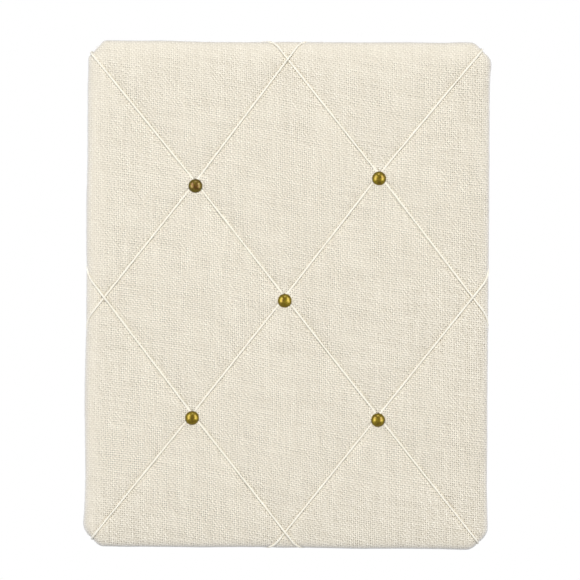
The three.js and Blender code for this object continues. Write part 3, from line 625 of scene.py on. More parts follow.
ROLL_BEGINS = math.radians(13)
ROLL_ANGLES = np.radians(np.arange(23, 91, 11.1))
REAR_ANGLES = np.radians((22, 45, 68, 90))
RAW_EDGE_DROP = 0.75
RAW_EDGE_CLOTH = 0.7


def cover_rings():
    """The rings from the front's rim round to the hem's raw edge.

    Each has its inset, its depth, the cloth used and the turn made so far, how far it faces the
    back, and its shares of the ripple, the cords' pull and the pleats.
    """
    begun, level = math.sin(ROLL_BEGINS), math.cos(ROLL_BEGINS)
    for angle in ROLL_ANGLES:
        turn = math.sin(angle)
        across = (turn - begun) / (1 - begun)
        down = 1 - math.cos(angle) / level
        yield (EDGE_ROLL * (1 - across), COVER_FRONT + EDGE_ROLL * down, EDGE_ROLL * angle, angle,
               -math.cos(angle), (turn, turn, 0.0))
    run = EDGE_ROLL * QUARTER_TURN
    for share in (0.25, 0.5, 0.75, 1.0):
        yield (0, COVER_FRONT + EDGE_ROLL + SIDE_LENGTH * share, run + SIDE_LENGTH * share,
               QUARTER_TURN, 0.0, (1.0, 1.0, 0.5 * share))
    run += SIDE_LENGTH
    for angle in REAR_ANGLES:
        turn = math.sin(angle)
        yield (REAR_ROLL * (1 - math.cos(angle)), HEM_REAR - REAR_ROLL * (1 - turn),
               run + REAR_ROLL * angle, QUARTER_TURN + angle, turn,
               (1 - turn, 1.0 - 0.5 * turn, 0.5 + 0.5 * turn))
    run += REAR_ROLL * QUARTER_TURN
    for share in (0.15, 0.35, 0.55, 0.75, 0.95, 1.0):
        reach = (HEM_DEPTH - REAR_ROLL) * share
        yield REAR_ROLL + reach, HEM_REAR, run + reach, math.pi, 1.0, (0.35, 0.5, 1.0)
    yield (HEM_DEPTH, HEM_REAR - RAW_EDGE_DROP, run + HEM_DEPTH - REAR_ROLL + RAW_EDGE_CLOTH,
           math.pi, 0.0, (0.0, 0.0, 0.0))


STAPLE_DENT = (0.3, 3.5)
DENT_SWELL_AT = 8


def press_staples(vertices):
    """Dents the hem under each staple, with a low swell round the dent."""
    behind = np.clip(vertices[:, 1] - HEM_REAR + 1, 0, 1)
    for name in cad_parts:
        if name.startswith("hem_staple"):
            low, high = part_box(name)
            middle = np.array([low[0] + high[0], low[2] + high[2]]) / 2 / MM
            gap = np.linalg.norm(vertices[:, [0, 2]] - middle, axis=1)
            swell = bell(gap - DENT_SWELL_AT, *STAPLE_DENT)
            vertices[:, 1] += behind * (swell - bell(gap, *STAPLE_DENT))


# Spacing, and the lines beside the cords
COVER_MESH = (2.6, (0.8, 1.7, 2.9))


def build_cover():
    flat, faces, rim = plain_front(*COVER_MESH)
    cloth = [flat]
    flat, rise = front_shape(flat, faces)
    layers = [raised(flat, COVER_FRONT - rise)]
    rim_points, rim_out = ring_at(EDGE_ROLL)
    pleat = pleat_shares(rim_points, rim_out)
    ripple = edge_ripple(rim_points, rim_out)
    for inset, y, run, turned, back, shares in cover_rings():
        points, out = ring_at(inset)
        pulled = cord_pull(rim_points, rim_out, run + CORD_LIFT * turned)
        stray = ripple * shares[0] - pulled * shares[1] + PLEAT_RISE * pleat * shares[2]
        moved = points + out * (stray * (1 - abs(back)))[:, None]
        layers.append(raised(moved, y + stray * back))
        cloth.append(rim_points + rim_out * run)
    vertices, faces, _ = stitched(layers, faces, rim)
    press_staples(vertices)
    cover = make_object("linen_cover", vertices, faces)
    cloth = np.vstack(cloth)
    point_vectors(cover, "threads", np.column_stack([thread_line(cloth), openness(cloth)]))
    return cover


# Cords

# Distance from the crossing, lift and flatness
CROSSING_SHAPES = {
    "nail_over": ((0, 0.99, CORD_PRESS), (1.2, 0.99, CORD_PRESS), (5, 0.25, CORD_PRESS), (9, 0, 1)),
    "nail_under": ((0, 0, CORD_PRESS), (5, 0, CORD_PRESS), (9, 0, 1)),
    "free_over": ((0, 1.45, 1), (1.2, 1.4, 1), (7, 0, 1)),
    "free_under": ((0, 0, 1), (7, 0, 1)),
}
CORD_STEP = 0.6
CORD_SINK = 0.05
EDGE_SINK = 1.35
BEND_REACH = 2.4
LIFT_REACH = 1.8


def smoothed(values, reach):
    width = max(int(reach / CORD_STEP), 1)
    kernel = np.hanning(2 * width + 3)[1:-1]
    kernel /= kernel.sum()
    padded = np.pad(values, (width, width), mode="edge")
    return np.convolve(padded, kernel, mode="valid")


def edge_sink(angle):
    return CORD_SINK + (EDGE_SINK - CORD_SINK) * math.sin(angle)


def wrap_samples(leave):
    """Centres and outward directions from an exit round the edge to the tail's end."""
    normal = leave.normal
    samples = []

    def put(reach, y, travelled, out_flat, out_y, sink=EDGE_SINK):
        lift = CORD_LIFT - sink * leave.ease
        point = (leave.point + normal * (reach + lift * out_flat)
                 + leave.tangent * leave.slant * travelled)
        out = (normal[0] * out_flat, out_y, normal[1] * out_flat)
        samples.append(((point[0], y + lift * out_y, point[1]), out))

    for angle in np.linspace(0, QUARTER_TURN, 15)[1:]:
        put(EDGE_ROLL * math.sin(angle), COVER_FRONT + EDGE_ROLL * (1 - math.cos(angle)),
            (EDGE_ROLL + CORD_LIFT) * angle, math.sin(angle), -math.cos(angle), edge_sink(angle))
    travelled = (EDGE_ROLL + CORD_LIFT) * QUARTER_TURN
    for share in np.linspace(0, 1, 13)[1:]:
        put(EDGE_ROLL, COVER_FRONT + EDGE_ROLL + SIDE_LENGTH * share,
            travelled + SIDE_LENGTH * share, 1.0, 0.0)
    travelled += SIDE_LENGTH
    for angle in np.linspace(0, QUARTER_TURN, 8)[1:]:
        put(EDGE_ROLL - REAR_ROLL * (1 - math.cos(angle)),
            HEM_REAR - REAR_ROLL * (1 - math.sin(angle)),
            travelled + (REAR_ROLL + CORD_LIFT) * angle, math.cos(angle), math.sin(angle),
            edge_sink(QUARTER_TURN - angle))
    travelled += (REAR_ROLL + CORD_LIFT) * QUARTER_TURN
    for run in np.linspace(0, TAIL_LENGTH, 21)[1:]:
        put(EDGE_ROLL - REAR_ROLL - run, HEM_REAR, travelled + run, 0.0, 1.0, CORD_SINK)
    return samples


def cord_samples(rank):
    """A cord's centres from end to end, its outward directions and how flat it is pressed."""
    stops = front_stops(rank)
    lengths = [np.linalg.norm(b[0] - a[0]) for a, b in zip(stops[:-1], stops[1:])]
    marks = np.cumsum([0] + lengths)
    along = np.linspace(0, marks[-1], int(marks[-1] / CORD_STEP) + 1)
    flat = np.column_stack([np.interp(along, marks, [s[0][axis] for s in stops])
                            for axis in (0, 1)])
    ends = flat[[0, -1]].copy()
    flat = np.column_stack([smoothed(flat[:, axis], BEND_REACH) for axis in (0, 1)])
    flat[[0, -1]] = ends
    lift = np.zeros(len(along))
    press = np.ones(len(along))
    for mark, (_, kind) in zip(marks, stops):
        if kind in CROSSING_SHAPES:
            reach, up, flatness = zip(*CROSSING_SHAPES[kind])
            gap = np.abs(along - mark)
            lift = np.maximum(lift, np.interp(gap, reach, up))
            press = np.minimum(press, np.interp(gap, reach, flatness))
    lift, press = smoothed(lift, LIFT_REACH), smoothed(press, LIFT_REACH)
    y = COVER_FRONT - (CORD_GAP + CORD_RADIUS * press + lift) + CORD_SINK
    front = [((p[0], d, p[1]), (0.0, -1.0, 0.0)) for p, d in zip(flat, y)]
    before = wrap_samples(exits[rank][0])[::-1]
    after = wrap_samples(exits[rank][1])
    joined = before + front + after
    presses = np.concatenate([np.ones(len(before)), press, np.ones(len(after))])
    centres = np.array([s[0] for s in joined])
    outs = np.array([s[1] for s in joined])
    return centres, outs, presses


CORD_SIDES = 12
CORD_LOOK = 0.76
STRANDS = 3
LAY = 5.2


def twisted_tube(centres, outs, presses):
    """A three-strand cord's skin, and for each vertex its place along and around the cord."""
    run = unit(np.gradient(centres, axis=0))
    side = unit(np.cross(run, outs))
    up = np.cross(side, run)
    steps = np.linalg.norm(np.diff(centres, axis=0), axis=1)
    length = np.concatenate([[0], np.cumsum(steps)])
    theta = np.arange(CORD_SIDES) * FULL_TURN / CORD_SIDES
    turn = FULL_TURN * length / LAY
    ridge = 0.94 + 0.09 * np.cos(STRANDS * (theta[None, :] - turn[:, None] / STRANDS))
    thick = 1 + 0.05 * np.sin(length * 0.21 + 1.3) + 0.04 * np.sin(length * 0.083)
    half = CORD_LOOK * presses * thick
    wide = CORD_LOOK * (1 + (1 - presses) / (1 - CORD_PRESS) * (CORD_SPREAD - 1)) * thick
    ring = (centres[:, None, :]
            + side[:, None, :] * (wide[:, None] * ridge * np.cos(theta))[:, :, None]
            + up[:, None, :] * (half[:, None] * ridge * np.sin(theta))[:, :, None])
    lay = np.repeat(length, CORD_SIDES)
    lay = np.column_stack([lay, np.tile(theta, len(centres)), np.zeros(len(lay))])
    return ring.reshape(-1, 3), tube_faces(0, len(centres), CORD_SIDES), lay


STRAND_SIDES = 4
STRAND_TAPER = 0.7
STRAND_LEAN = (0.0, 1.0, 0.13)


def strands(paths, radii):
    """Thin tapering tubes along the paths, as one set of vertices and faces."""
    vertices, faces = [], []
    for path, radius in zip(paths, radii):
        run = unit(np.gradient(path, axis=0))
        side = unit(np.cross(run, STRAND_LEAN))
        up = np.cross(side, run)
        faces += tube_faces(len(vertices), len(path), STRAND_SIDES)
        for i, point in enumerate(path):
            thin = radius * (1 - STRAND_TAPER * (i / (len(path) - 1)) ** 2)
            for k in range(STRAND_SIDES):
                angle = FULL_TURN * k / STRAND_SIDES
                out = side[i] * math.cos(angle) + up[i] * math.sin(angle)
                vertices.append(point + out * thin)
    return np.array(vertices), faces


FRAY_FIBRES = 16
FRAY_OVERLAP = 0.4


def frayed_end(end, before):
    """Fibres that spread from a cord's cut end and lie on the hem."""
    run = (end - before) / np.linalg.norm(end - before)
    side = np.cross(run, (0.0, 1.0, 0.0))
    paths = []
    for _ in range(FRAY_FIBRES):
        around = rng.uniform(0, FULL_TURN)
        off = side * math.cos(around) + np.array([0, math.sin(around), 0])
        root = end + off * rng.uniform(0.1, 0.5)
        length, veer = rng.uniform(1.6, 3.8), rng.normal(0, 0.35)
        shares = np.linspace(0, 1, 5)
        path = root - run * FRAY_OVERLAP + np.outer(shares, run * length)
        path = path + np.outer(shares ** 1.6, side * veer * length)
        path[:, 1] += (HEM_REAR + 0.15 + rng.uniform(0, 0.5) - root[1]) * shares ** 1.5
        paths.append(path)
    return paths


def build_cord(rank):
    centres, outs, presses = cord_samples(rank)
    vertices, faces, lay = twisted_tube(centres, outs, presses)
    paths = frayed_end(centres[0], centres[3]) + frayed_end(centres[-1], centres[-4])
    fibres, more = strands(paths, rng.uniform(0.06, 0.12, len(paths)))
    faces = faces + [tuple(k + len(vertices) for k in face) for face in more]
    vertices = np.vstack([vertices, fibres])
    lay = np.vstack([lay, fibres * (1, 0, 0)])
    cord = make_object(CORDS[rank][0].replace("cord_", "twisted_cord_"), vertices, faces)
    point_vectors(cord, "lay", lay)
    return cord


# Loose threads and wadding

FUZZ_FIBRES = 150
FUZZ_ROOT = 0.5
HEM_THREAD_STEP = 1.4
HEM_THREAD_ROOT = 0.5


def fuzz_paths():
    """Short fibres that stand off the cloth round its edges."""
    paths = []
    for _ in range(FUZZ_FIBRES):
        angle = math.radians(rng.uniform(35, 90))
        points, out = ring_at(EDGE_ROLL * (1 - math.sin(angle)))
        at = rng.integers(len(points))
        across, along = out[at], np.array([-out[at][1], out[at][0]])
        on_side = angle > 1.2
        y = COVER_FRONT + EDGE_ROLL * (1 - math.cos(angle)) + rng.uniform(0, 8) * on_side
        flat = points[at] - FUZZ_ROOT * across
        root = np.array([flat[0], y, flat[1]])
        off = np.array([across[0], -0.5 * math.cos(angle), across[1]])
        lean = np.array([along[0], rng.uniform(-0.3, 0.3), along[1]]) * rng.normal(0, 1.0)
        length = rng.uniform(1.0, 2.4)
        shares = np.linspace(0, 1, 6)
        paths.append(root + np.outer(shares, off * length)
                     + np.outer(shares ** 2, (lean - 0.5 * off) * length))
    return paths


def hem_paths():
    """Thread ends along the hem's raw edge, which lie on the board's back."""
    paths = []
    for edge in range(8):
        start, end = straight_run(edge, HEM_DEPTH)
        inward, along = -edge_normal(edge), edge_tangent(edge)
        length = np.linalg.norm(end - start)
        for at in np.arange(HEM_THREAD_STEP / 2, length, HEM_THREAD_STEP):
            reach = 0.6 + rng.gamma(1.6, 0.9)
            veer, bend = rng.normal(0, 0.25), rng.normal(0, 0.35)
            shares = np.linspace(0, 1, 5)
            root = start + along * (at + rng.uniform(-0.3, 0.3)) - inward * HEM_THREAD_ROOT
            sway = shares * veer + shares ** 2 * bend
            flat = root + np.outer(shares, inward * (reach + HEM_THREAD_ROOT))
            flat = flat + np.outer(sway, along * reach)
            lifted = rng.uniform(0, 0.35) * shares ** 2
            depth = 0.22 + (HEM_REAR - 0.35) * (1 - shares) ** 2 + lifted
            paths.append(raised(flat, depth))
    return paths


def build_threads():
    paths = hem_paths()
    radii = rng.uniform(0.12, 0.24, len(paths))
    fuzz = fuzz_paths()
    fine = rng.uniform(0.04, 0.08, len(fuzz))
    vertices, faces = strands(paths + fuzz, np.concatenate([radii, fine]))
    return make_object("loose_threads", vertices, faces)


PAD_MESH = (6.0, (2.5, 5.0))
PAD_PUFF = 0.85
TUFTS = (41, 0.1, 9)
PAD_ANGLES = np.radians((15, 35, 55, 75, 90))


def build_wadding():
    """The padding under the cover, pressed in along the cords and turned down round the board."""
    depth, back, reach, inner = 2.0, -9.8, -1.2, 3.1
    flat, faces, rim = plain_front(*PAD_MESH)
    rise = PAD_PUFF * pillow_rise(flat) + waves(flat, *TUFTS)
    radius = EDGE_ROLL - depth
    turns = [(EDGE_ROLL - radius * math.sin(a), COVER_FRONT + EDGE_ROLL - radius * math.cos(a))
             for a in PAD_ANGLES]
    turns += [(depth, -5.0), (depth, reach), (inner, reach), (inner, back)]
    layers = [raised(flat, COVER_FRONT + depth - rise)]
    layers += [raised(ring_at(inset)[0], y) for inset, y in turns]
    vertices, faces, last = stitched(layers, faces, rim)
    middle = len(vertices)
    faces += [(a, middle, b) for a, b in zip(last, last[1:] + last[:1])]
    return make_object("wadding_pad", np.vstack([vertices, (0, back, 0)]), faces)


# Nails and rings

def lathe(profile, sides):
    """Turns (radius, depth) points about the depth axis, which is Y."""
    angles = [FULL_TURN * k / sides for k in range(sides)]
    vertices = [(radius * math.cos(a), depth, radius * math.sin(a))
                for radius, depth in profile for a in angles]
    rows = row_numbers(len(profile), sides)
    return np.array(vertices), sum([strip(a, b) for a, b in zip(rows[:-1], rows[1:])], [])


def nail_profile():
    """A hollow dome with a rolled lip, down to the shank and its point."""
    rim, rise, wall, shank = 4.88, 3.4, 0.5, 0.75
    radius = (rim ** 2 + rise ** 2) / (2 * rise)
    sweep = math.asin(rim / radius)
    outer = [(radius * math.sin(a), radius - rise - radius * math.cos(a))
             for a in np.linspace(0.002, sweep, 22)]
    lip = [(rim + 0.01, 0.08), (rim - 0.05, 0.16), (rim - 0.2, 0.2), (rim - 0.4, 0.12)]
    inner = [(r, -(rise - wall) * (1 - (r / (rim - wall)) ** 2))
             for r in np.linspace(rim - wall, shank, 7)]
    return outer + lip + inner + [(shank, 10.0), (0.01, 12.0)]


NAIL_SIDES = 64


def build_nail(name):
    vertices, faces = lathe(nail_profile(), NAIL_SIDES)
    x, z = NAILS[name]
    return make_object("brass_nail_" + name, vertices + (x, NAIL_RIM, z), faces)


def build_ring(side):
    """A bent wire D that hangs from its straight bar, in the knuckle's axis."""
    half, corner, height, wire_radius, sides = 7.5, 1.8, 12.0, 1.0, 18
    arcs = [((half - corner, -corner), corner, 90, 0, 8),
            ((0, half - height), half, 0, -180, 40),
            ((corner - half, -corner), corner, 180, 90, 8)]
    path = [(cx + radius * math.cos(a), cz + radius * math.sin(a))
            for (cx, cz), radius, start, end, steps in arcs
            for a in np.radians(np.linspace(start, end, steps))]
    path += [(x, 0.0) for x in np.linspace(corner - half, half - corner, 10)[1:-1]]
    path = np.array(path)
    run = unit(np.roll(path, -1, 0) - np.roll(path, 1, 0))
    out = np.column_stack([run[:, 1], -run[:, 0]])
    theta = np.arange(sides) * FULL_TURN / sides
    flat = path[:, None, :] + out[:, None, :] * (wire_radius * np.cos(theta))[None, :, None]
    depth = np.tile(wire_radius * np.sin(theta), (len(path), 1))
    vertices = np.stack([flat[:, :, 0] + HANGER_X * side, depth + RING_AXIS_Y,
                         flat[:, :, 1] + RING_AXIS_Z], axis=2).reshape(-1, 3)
    rows = row_numbers(len(path), sides)
    faces = sum([strip(a, b) for a, b in zip(rows, rows[1:] + rows[:1])], [])
    return make_object("ring_wire_left" if side < 0 else "ring_wire_right", vertices, faces)


# Materials

# Nearly all of a noise's values lie between these
NOISE_LOW, NOISE_HIGH = 0.3, 0.7


class Nodes:
    """A node tree, built from small calls."""

    def __init__(self, tree):
        self.tree = tree

    def put(self, socket, value):
        if isinstance(value, bpy.types.NodeSocket):
            self.tree.links.new(value, socket)
        elif socket.type == "RGBA":
            socket.default_value = (*value, 1)
        else:
            socket.default_value = value

    def make(self, kind, *values, **settings):
        """A node with these settings, and the values in its first inputs."""
        node = self.tree.nodes.new("ShaderNode" + kind)
        for name, setting in settings.items():
            setattr(node, name, setting)
        for socket, value in zip(node.inputs, values):
            self.put(socket, value)
        return node

    def math(self, operation, *values):
        return self.make("Math", *values, operation=operation).outputs[0]

    def total(self, first, *others):
        for other in others:
            first = self.math("ADD", first, other)
        return first

    def less(self, value, taken):
        return self.math("SUBTRACT", value, taken)

    def product(self, first, *others):
        for other in others:
            first = self.math("MULTIPLY", first, other)
        return first

    def fit(self, *values, kind="LINEAR"):
        """A value moved from one range, low and high, to another."""
        return self.make("MapRange", *values, interpolation_type=kind).outputs[0]

    def spread(self, noise, to_low, to_high):
        return self.fit(noise, NOISE_LOW, NOISE_HIGH, to_low, to_high)

    def vector_math(self, operation, *vectors):
        return self.make("VectorMath", *vectors, operation=operation).outputs[0]

    def scaled(self, vector, factors):
        return self.vector_math("MULTIPLY", vector, factors)

    def joined(self, x, y):
        return self.make("CombineXYZ", x, y).outputs[0]

    def split(self, vector):
        return self.make("SeparateXYZ", vector).outputs

    def coordinates(self, name="Object"):
        return self.make("TexCoord").outputs[name]


class Shader(Nodes):
    """A material on the principled surface."""

    def __init__(self, name):
        self.material = bpy.data.materials.new(name)
        self.material.use_nodes = True
        super().__init__(self.material.node_tree)
        self.surface = self.tree.nodes["Principled BSDF"]

    def set(self, **values):
        for name, value in values.items():
            self.put(self.surface.inputs[name.replace("_", " ")], value)
        return self.material

    def mix(self, factor, a, b):
        node = self.make("Mix", factor, data_type="RGBA")
        self.put(node.inputs[6], a)
        self.put(node.inputs[7], b)
        return node.outputs[2]

    def noise(self, vector, scale=1.0, detail=2.0, rough=0.5):
        return self.make("TexNoise", vector, 0.0, scale, detail, rough).outputs[0]

    def speckle(self, x, y):
        """A random value for each whole-numbered place."""
        return self.make("TexWhiteNoise", self.joined(x, y), noise_dimensions="2D").outputs["Value"]

    def bump(self, height, strength, distance):
        node = self.make("Bump", strength, distance)
        self.put(node.inputs["Height"], height)
        self.set(Normal=node.outputs[0])

    def attribute(self, name):
        return self.make("Attribute", attribute_name=name).outputs["Vector"]


WARP_PITCH = 1.285
WEFT_PITCH = 1.48
WARP_HALF = (0.235, 0.35)
WEFT_HALF = (0.272, 0.358)
YARN_EDGE = (0.07, 0.05)
YARN_HALF = 0.45
YARN_LIFT = 0.3
# Painted shade: the weave's holes are given this dark colour
SHADED_HOLE_COLOUR = (0.13, 0.10, 0.055)
YARN_COLOURS = ((0.47, 0.412, 0.305), (0.93, 0.88, 0.755))


def yarns(s, across, number, other, slub, half, lift):
    """One set of threads: where they cover, how they wave over the other set, and their height."""
    off = s.math("ABSOLUTE", s.less(s.math("FRACT", across), 0.5))
    width = s.spread(slub, *half)
    outer, inner = s.total(width, YARN_EDGE[0]), s.less(width, YARN_EDGE[1])
    cover = s.fit(off, outer, inner, 0.0, 1.0)
    wave = s.math("COSINE", s.product(s.total(s.less(other, 0.5), number), math.pi))
    rounded = s.less(1.0, s.math("POWER", s.math("DIVIDE", off, YARN_HALF), 2.0))
    height = s.product(cover, s.total(s.product(wave, lift), s.product(rounded, 0.5)))
    return cover, wave, height


def linen():
    """An open plain weave with slubs, from the cloth's own thread lines."""
    s = Shader("linen")
    placed = s.attribute("threads")
    threads = s.scaled(placed, (1, 1, 0))
    u, v, loose = s.split(placed)
    wander_u = s.spread(s.noise(s.scaled(threads, (0.06, 0.012, 1))), -0.4, 0.4)
    wander_v = s.spread(s.noise(s.scaled(threads, (0.012, 0.06, 1))), -0.35, 0.35)
    warp = s.total(s.math("DIVIDE", u, WARP_PITCH), wander_u)
    weft = s.total(s.math("DIVIDE", v, WEFT_PITCH), wander_v)
    warp_number, weft_number = s.math("FLOOR", warp), s.math("FLOOR", weft)
    warp_slub = s.noise(s.joined(s.product(warp_number, 3.7), s.product(v, 0.035)))
    weft_slub = s.noise(s.joined(s.product(u, 0.03), s.product(weft_number, 3.3)))
    warp_cover, warp_wave, warp_height = yarns(s, warp, warp_number, weft, warp_slub, WARP_HALF,
                                               YARN_LIFT)
    weft_cover, _, weft_height = yarns(s, weft, weft_number, warp, weft_slub, WEFT_HALF,
                                       -YARN_LIFT)
    height = s.math("MAXIMUM", s.math("MAXIMUM", warp_height, weft_height), -0.2)
    patch = s.noise(s.scaled(threads, (0.05, 0.05, 1)))
    blotch = s.noise(s.scaled(threads, (0.3, 0.38, 1)), detail=1.0)
    grain = s.noise(s.scaled(threads, (1.3, 1.3, 1)))
    tone = s.speckle(warp_number, weft_number)
    # Painted shade and light: yarns darker where they dip under the other set, lighter where they
    # pass over, the warp's over-passes lighter still
    light = s.total(s.fit(tone, 0.0, 1.0, -0.068, 0.062), s.spread(weft_slub, -0.016, 0.026),
                    s.spread(warp_slub, -0.026, 0.026), s.spread(patch, -0.003, 0.003),
                    s.spread(blotch, -0.008, 0.008), s.spread(grain, -0.02, 0.02),
                    s.fit(height, -0.2, 0.8, -0.1, 0.044), s.product(warp_wave, 0.07))
    light = s.product(light, s.fit(loose, 0.25, 1.0, 0.55, 1.0))
    # Painted light: the cloth is a little brighter towards its left side
    light = s.total(light, s.fit(u, -HALF_WIDTH, HALF_WIDTH, 0.012, -0.004))
    yarn = s.mix(s.fit(light, -0.3, 0.2, 0.0, 1.0), *YARN_COLOURS)
    spot = s.speckle(s.math("FLOOR", s.total(warp, 0.5)), s.math("FLOOR", s.total(weft, 0.5)))
    # Painted shade in the holes between the yarns, deeper where the weave is more open
    hole = s.product(s.less(1.0, warp_cover), s.less(1.0, weft_cover))
    open_share = s.product(s.fit(spot, 0.0, 1.0, 0.05, 1.5), s.spread(patch, 0.95, 1.05))
    open_share = s.product(open_share, s.product(loose, s.spread(blotch, 1.06, 0.94)))
    s.bump(height, 0.5, 0.0003)
    return s.set(Base_Color=s.mix(s.product(hole, open_share), yarn, SHADED_HOLE_COLOUR),
                 Roughness=s.spread(grain, 0.82, 0.95), Specular_IOR_Level=0.2,
                 Sheen_Weight=0.75, Sheen_Roughness=0.5, Sheen_Tint=(0.84, 0.89, 1.0))


def cotton_cord():
    s = Shader("cotton_cord")
    run, around, _ = s.split(s.attribute("lay"))
    turned = s.less(s.product(around, STRANDS), s.product(run, FULL_TURN / LAY))
    groove_and_shade = s.fit(s.math("COSINE", turned), -1.0, -0.4, 1.0, 0.0, kind="SMOOTHSTEP")
    fibre = s.noise(s.joined(s.product(run, 1.4), s.product(turned, 2.0)), 1.0, 3.0, 0.6)
    slow = s.noise(s.joined(s.product(run, 0.12), 0.0))
    base = s.mix(s.spread(fibre, 0.0, 1.0), (0.87, 0.83, 0.70), (0.93, 0.895, 0.785))
    # Painted shade in the grooves between the strands
    base = s.mix(s.product(groove_and_shade, 0.25), base, (0.70, 0.63, 0.50))
    base = s.mix(s.fit(slow, 0.45, 0.75, 0.0, 0.25), base, (0.80, 0.73, 0.58))
    s.bump(s.less(fibre, groove_and_shade), 0.35, 0.0002)
    return s.set(Base_Color=base, Roughness=0.85, Specular_IOR_Level=0.25, Sheen_Weight=0.2)


def brass(name, bright, brown, shift, rough):
    """Antiqued brass with patina clouds, browned as painted shade down the dome's sides. The shift
    moves its clouds.
    """
    s = Shader(name)
    moved = s.vector_math("ADD", s.coordinates(), (shift, shift * 0.7, shift * 1.3))
    cloud = s.noise(moved, 420.0, 4.0, 0.6)
    speck = s.noise(moved, 2600.0, 3.0, 0.6)
    # Painted shade: the dome's sides, turned away from the front, are painted browner
    facing = s.math("ABSOLUTE", s.split(s.coordinates("Normal"))["Y"])
    steep_shade = s.less(1.0, s.math("POWER", facing, 0.7))
    patina_and_shade = s.total(s.fit(cloud, 0.35, 0.65, -0.2, 0.5), steep_shade)
    base = s.mix(s.fit(patina_and_shade, -0.2, 0.8, 1.0, 0.0), bright, brown)
    base = s.mix(s.fit(speck, 0.6, 0.75, 0.0, 0.5), base, tuple(0.5 * c for c in brown))
    s.bump(s.total(cloud, s.product(speck, 0.3)), 0.08, 0.0002)
    return s.set(Base_Color=base, Metallic=1.0, Coat_Weight=0.3, Coat_Roughness=0.22,
                 Roughness=s.spread(cloud, rough - 0.05, rough + 0.07))


def steel(name, colour, rough):
    s = Shader(name)
    place = s.coordinates()
    cloud = s.noise(place, 260.0, 4.0, 0.6)
    scratch = s.noise(s.scaled(place, (9000, 900, 1500)))
    dull = tuple(0.62 * c for c in colour)
    s.bump(scratch, 0.08, 0.0001)
    return s.set(Base_Color=s.mix(s.fit(cloud, 0.35, 0.7, 0.0, 0.8), colour, dull), Metallic=1.0,
                 Roughness=s.spread(scratch, rough - 0.07, rough + 0.1))


def fibreboard():
    s = Shader("fibreboard")
    place = s.coordinates()
    fibres = s.noise(s.scaled(place, (900, 900, 420)), 1.0, 6.0, 0.65)
    cross = s.noise(s.scaled(place, (420, 900, 1000)), 1.0, 6.0, 0.65)
    cloud = s.noise(place, 22.0, 3.0)
    fleck = s.noise(place, 700.0)
    base = s.mix(s.spread(fibres, 0.0, 1.0), (0.17, 0.095, 0.042), (0.36, 0.225, 0.115))
    base = s.mix(s.fit(cross, 0.45, 0.75, 0.0, 0.7), base, (0.43, 0.29, 0.165))
    base = s.mix(s.fit(cloud, 0.35, 0.65, 0.0, 0.35), base, (0.22, 0.13, 0.06))
    base = s.mix(s.fit(fleck, 0.66, 0.74, 0.0, 0.7), base, (0.10, 0.055, 0.025))
    s.bump(s.total(fibres, cross), 0.35, 0.0003)
    return s.set(Base_Color=base, Roughness=s.spread(fibres, 0.7, 0.92))


def fibrous(name, noise, colours, bump, **values):
    """Plain fibres between two colours."""
    s = Shader(name)
    fibre = s.noise(s.coordinates(), *noise)
    s.bump(fibre, *bump)
    return s.set(Base_Color=s.mix(fibre, *colours), **values)


# Dressing

STRAP_ROUNDING = 0.12
SCREW_ROUNDING = 0.06


def dress(piece, material, body="board", nodes=()):
    piece.data.materials.clear()
    piece.data.materials.append(material)
    if nodes:
        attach(piece, body)
        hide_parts(*nodes)
    return piece


cover = dress(build_cover(), linen(), nodes=("fabric_cover",))
thread_fibre = fibrous("linen_thread", (1500.0, 3.0, 0.6), ((0.66, 0.59, 0.46), (0.90, 0.85, 0.73)),
                       (0.3, 0.0001), Roughness=0.9, Sheen_Weight=0.3)
threads = dress(build_threads(), thread_fibre)
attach(threads, "board")
wadding = fibrous("wadding", (500.0, 5.0, 0.7), ((0.78, 0.78, 0.76), (0.92, 0.92, 0.9)),
                  (0.6, 0.001), Roughness=0.95)
pad = dress(build_wadding(), wadding, nodes=("batting",))
cord_material = cotton_cord()
for rank, cord in enumerate(CORDS):
    dress(build_cord(rank), cord_material, nodes=(cord[0],))
bright_brass = brass("antique_brass", (0.242, 0.183, 0.005), (0.112, 0.066, 0.0005), 0.0, 0.3)
brown_brass = brass("browned_brass", (0.15, 0.125, 0.008), (0.078, 0.025, 0.0008), 0.4, 0.36)
for name in NAILS:
    metal = brown_brass if name == "upper_left" else bright_brass
    dress(build_nail(name), metal, nodes=("nail_" + name,))

wire = steel("staple_wire", (0.62, 0.63, 0.64), 0.32)
zinc = steel("hanger_zinc", (0.66, 0.64, 0.58), 0.38)
board_fibre = fibreboard()
for side, body in ((-1, "ring_left"), (1, "ring_right")):
    dress(build_ring(side), zinc, body, ("hanger_" + body,))
for name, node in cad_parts.items():
    if name == "core_board":
        dress(node, board_fibre)
    elif name.startswith("hanger_strap"):
        strap = refined(name.replace("hanger", "pressed"), node, STRAP_ROUNDING)
        dress(strap, zinc, nodes=(name,))
    elif name.startswith("hanger_screw"):
        screw = refined(name.replace("hanger", "turned"), node, SCREW_ROUNDING)
        dress(screw, wire, nodes=(name,))
    elif "staple" in name:
        dress(node, wire)


# Stage, in metres

def area_light(name, place, target, size, radiance, diffuse=True, colour=(1, 1, 1)):
    """A soft light for the cloth, or one that only the metals mirror."""
    data = bpy.data.lights.new(name, "AREA")
    data.shape = "RECTANGLE"
    data.size, data.size_y = size
    data.energy = radiance * math.pi * size[0] * size[1]
    data.color = colour
    lamp = bpy.data.objects.new(name, data)
    lamp.location = place
    lamp.rotation_euler = (Vector(target) - Vector(place)).to_track_quat("-Z", "Y").to_euler()
    lamp.visible_diffuse = diffuse
    lamp.visible_glossy = not diffuse
    lamp.visible_camera = False
    SCENE.collection.objects.link(lamp)


FRONT_AT, BESIDE_AT, BACK_AT = 0.38, (0.58, 0.72), 0.9
DIM_ABOVE = (0.05, 0.65, 1.0, 0.25)
DIM_BELOW = (-0.7, -0.05, 0.55, 1.0)


